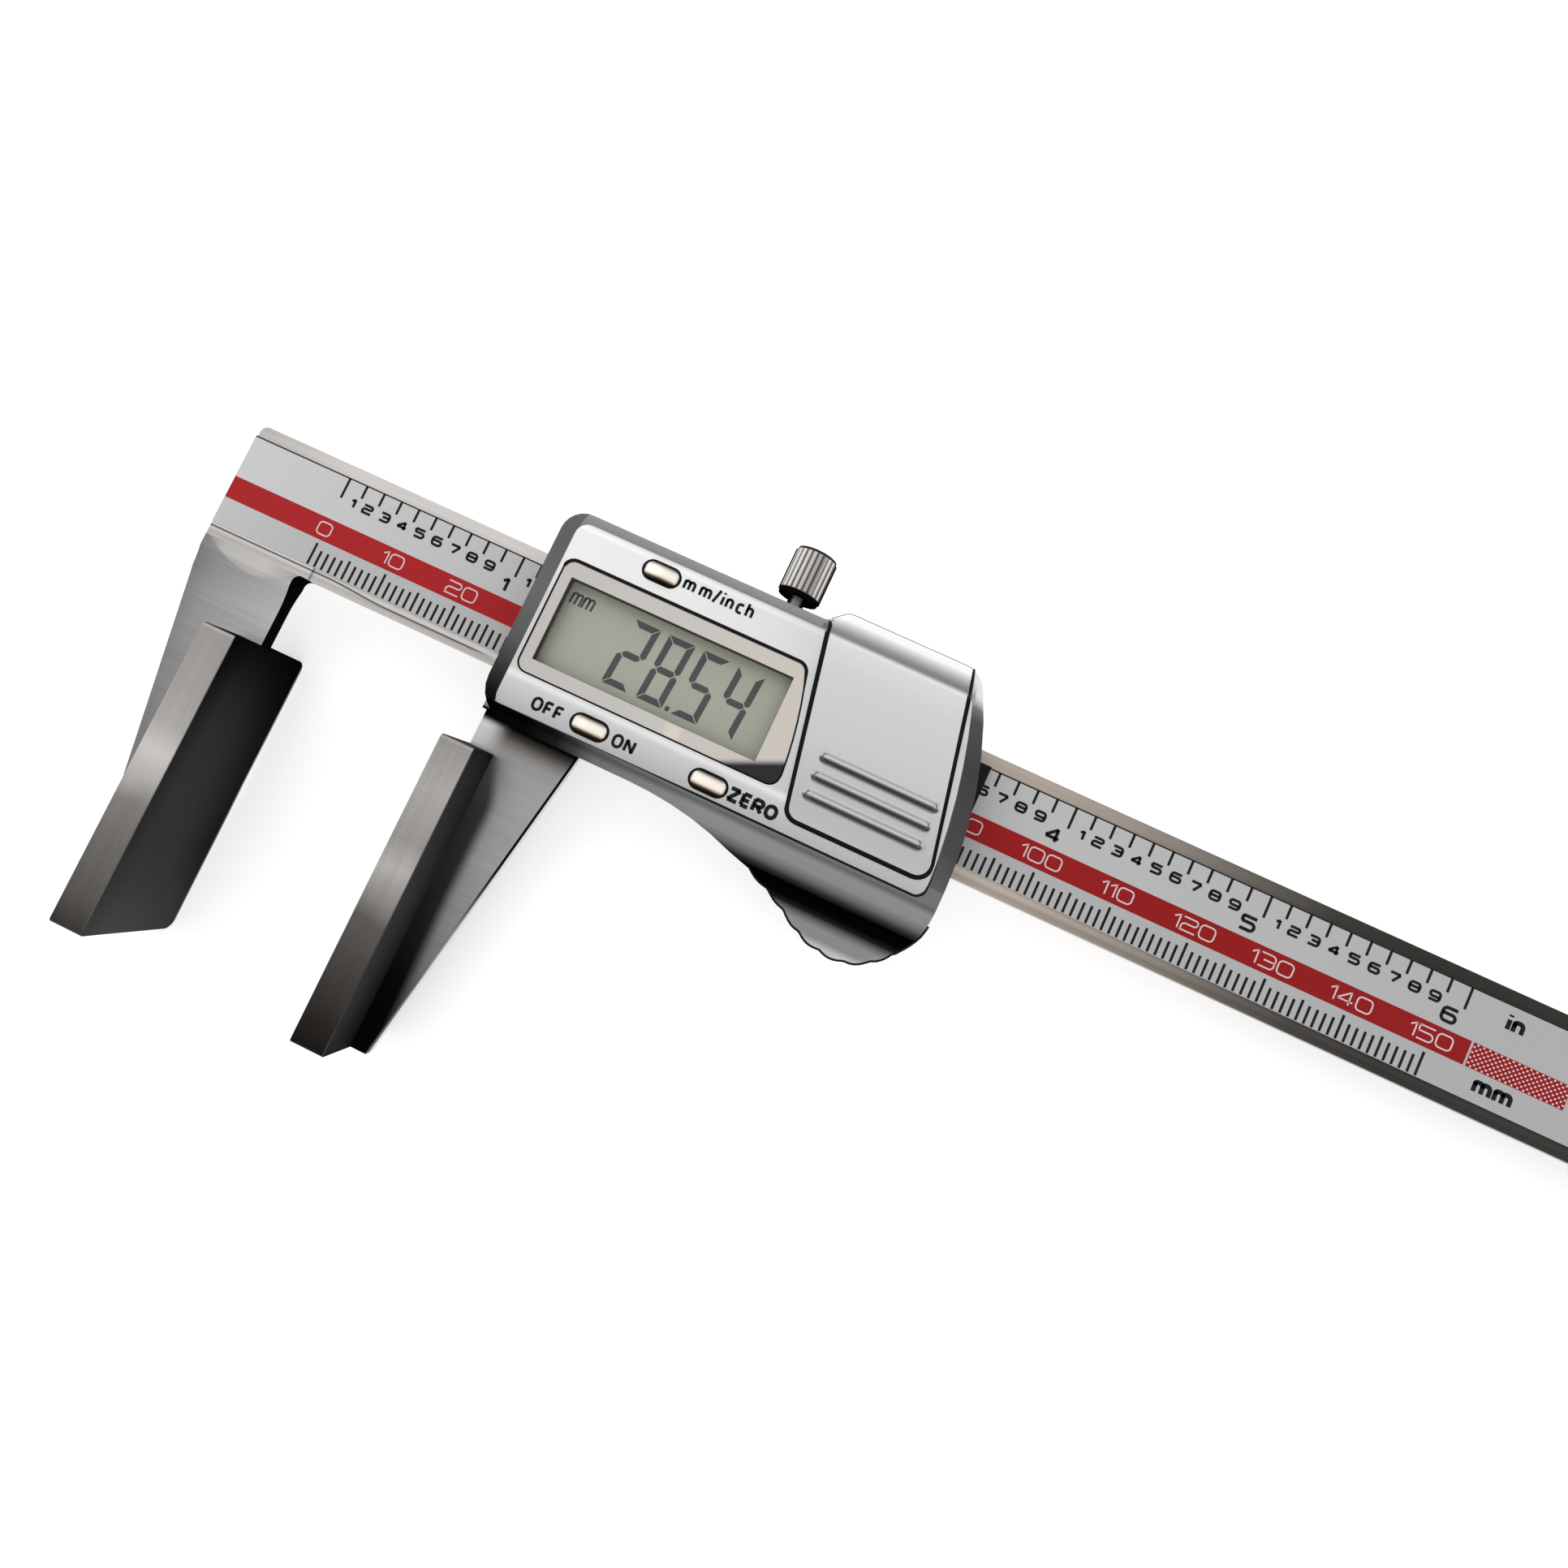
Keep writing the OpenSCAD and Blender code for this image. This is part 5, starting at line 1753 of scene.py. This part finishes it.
    def build(self) -> None:
        """Draws painted shade lines along the face's lower outline, the grip's edge, the back of the
        cover's rolled edge, and the seams of bezel, cover and buttons.
        """
        border = [e for e in self.edges("housing", FACE_Z, False) if e[0].y - BEAM_Y < self.outline_low]
        chained = self.chains(border, (0.0, -self.outline_in))
        outline = [(self.smooth(path), closed) for path, closed in chained]
        seams = self.chains(self.edges("housing", FACE_Z, True), (0.02, 0.02))
        keys = [path for path in seams if self.length(path[0]) < self.key_round]
        seam_start = corners("bezel")[1].x + 1.0
        long = [p for p in seams if self.length(p[0]) >= self.key_round and p[0][0][0] < seam_start]
        high = FACE_Z + self.thickness / 2
        cover_high = corners("battery_cover")[1].z - self.ridge_rise + self.thickness / 2
        housing_lines = [
            (outline, high, self.face_width, self.thickness, self.outline_share),
            (long, high, self.seam_width, self.thickness, self.seam_share),
            (keys, high, self.key_width, self.thickness, None),
            (self.grip_rim(), high, self.rim_width, self.thickness * 2, self.rim_share),
        ]
        cover_lines = [
            (self.cover_ring(), cover_high, self.cover_width, self.thickness, self.ring_share),
            (self.cover_sides(), high, self.cover_width, self.thickness, self.cover_share),
            (self.cover_back(), high, self.back_width, self.thickness, None),
        ]
        LOG.info("seams: %d outline, %d long, %d round the buttons", len(outline), len(long), len(keys))
        pieces = (
            ("housing_seam_shade", housing_lines, Body.SLIDER, "housing_plastic"),
            ("cover_seam_shade", cover_lines, Body.COVER, "cover_plastic"),
        )
        for name, lines, body, slot in pieces:
            meshes = [
                self.shop.ribbon_mesh(paths, z, width, thickness, Palette.SEAM, share)
                for paths, z, width, thickness, share in lines
            ]
            self.shop.piece(name, meshes, Palette.SEAM, body, slot)

    def smooth(self, path: Sequence[Point]) -> list[Point]:
        """Replaces the right end of the outline by a round corner and a short way up the side."""
        right = max(point[0] for point in path)
        low = min(point[1] for point in path)
        left, top = right - self.tail_length, low + self.tail_rise
        kept = sorted(point for point in path if point[0] < left and point[1] < top)
        (x0, y0), (x1, y1) = kept[-8], kept[-1]
        foot = y1 + (y1 - y0) / (x1 - x0) * (right - x1)
        ends = [(right + shift, BEAM_Y + v) for shift, v in self.tail_ends]
        return rounded([*kept, (right, foot), *ends], self.corner_r, False)

    @staticmethod
    def length(path: Sequence[Point]) -> float:
        """Length of a path."""
        return sum(math.dist(a, b) for a, b in zip(path, path[1:]))


def dress_nodes() -> None:
    """Gives every CAD node its finish."""
    for name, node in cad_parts.items():
        node.data.materials.clear()
        node.data.materials.append(NODE_FINISH[name].value.material())
        LOG.info("%s dressed with %s", name, NODE_FINISH[name].value.name)


# Studio


@dataclass
class Lamp:
    """One soft rectangular lamp, in metres."""

    name: str
    place: Sequence[float]
    size: float
    power: float

    def build(self, target: Vector) -> None:
        """Adds the lamp and points it at the target."""
        data = bpy.data.lights.new(self.name, "AREA")
        data.shape = "SQUARE"
        data.size = self.size
        data.energy = self.power
        lamp = bpy.data.objects.new(self.name, data)
        bpy.context.scene.collection.objects.link(lamp)
        lamp.location = target + Vector(self.place)
        lamp.rotation_mode = "QUATERNION"
        lamp.rotation_quaternion = (-Vector(self.place)).to_track_quat("-Z", "Y")


@dataclass
class Studio:
    """Pale floor, soft lamps, white surroundings and the photograph's camera."""

    focal_px: float = 1165.0
    image_px: float = 1932.0
    sensor: float = 36.0
    camera_at: Sequence[float] = (0.075565, 0.024381, 0.118373)
    right: Sequence[float] = (0.90582569, 0.42236584, -0.03296847)
    down: Sequence[float] = (0.41839002, -0.90409045, -0.08700724)
    ahead: Sequence[float] = (-0.06655536, 0.06501971, -0.99566200)
    floor_r: float = 4.0
    floor_gap: float = 0.0002
    floor_glow: float = 0.62
    ambient: float = 0.71

    def surroundings(self) -> None:
        """World that is white to the camera and in reflections, and softer as a light."""
        graph = Graph("studio", world=True)
        rays = graph.node("ShaderNodeLightPath").socket.node.outputs
        kinds = (f"Is {kind} Ray" for kind in ("Camera", "Glossy", "Transmission"))
        camera, glossy, through = (Value(graph, rays[kind]) for kind in kinds)
        seen = graph.math("MAXIMUM", graph.math("MAXIMUM", camera, glossy), through)
        level = graph.node("ShaderNodeMapRange", inputs={"Value": seen, "To Min": self.ambient})
        back = graph.node("ShaderNodeBackground", inputs={"Color": (1.0, 1.0, 1.0), "Strength": level})
        bpy.context.scene.world = graph.finish(back, "ShaderNodeOutputWorld")

    def floor(self) -> None:
        """Pale floor just below the part."""
        made = bmesh.new()
        bmesh.ops.create_circle(made, cap_ends=True, radius=self.floor_r, segments=64)
        mesh = bpy.data.meshes.new("floor")
        made.to_mesh(mesh)
        made.free()
        floor = bpy.data.objects.new("floor", mesh)
        floor.location.z = CAD_BOX[0].z - self.floor_gap
        bpy.context.scene.collection.objects.link(floor)
        graph = Graph("floor_white")
        white = graph.mix(graph.noise(3.0), srgb(233, 233, 233), srgb(236, 236, 236))
        mesh.materials.append(
            graph.close(
                Base_Color=white, Roughness=0.9, Emission_Color=white, Emission_Strength=self.floor_glow
            )
        )

    def camera(self) -> None:
        """Camera fitted to the photograph's graduations."""
        data = bpy.data.cameras.new("photo_camera")
        data.sensor_width = self.sensor
        data.lens = self.focal_px / self.image_px * self.sensor
        data.clip_start = 0.002
        camera = bpy.data.objects.new("photo_camera", data)
        bpy.context.scene.collection.objects.link(camera)
        up, back = -Vector(self.down), -Vector(self.ahead)
        turn = Matrix((self.right, up, back)).transposed()
        camera.matrix_world = Matrix.Translation(Vector(self.camera_at)) @ turn.to_4x4()
        bpy.context.scene.camera = camera

    def build(self) -> None:
        """Sets up the whole studio."""
        centre = (CAD_BOX[0] + CAD_BOX[1]) / 2
        Lamp("key", (-0.6, 0.6, 0.7), 0.9, 3.4).build(centre)
        Lamp("fill", (0.7, -0.5, 0.6), 0.9, 1.2).build(centre)
        self.surroundings()
        self.floor()
        self.camera()
        bpy.context.scene.view_settings.view_transform = "Standard"


def main() -> None:
    """Dresses the caliper and sets up the studio."""
    logging.basicConfig(level=logging.INFO, format="%(name)s: %(message)s")
    shop = Workshop()
    dress_nodes()
    for dressing in (ScalePrint(shop), DisplayPrint(shop), FacePrint(shop), SeamLines(shop)):
        dressing.build()
    Studio().build()


if __name__ == "__main__":
    main()
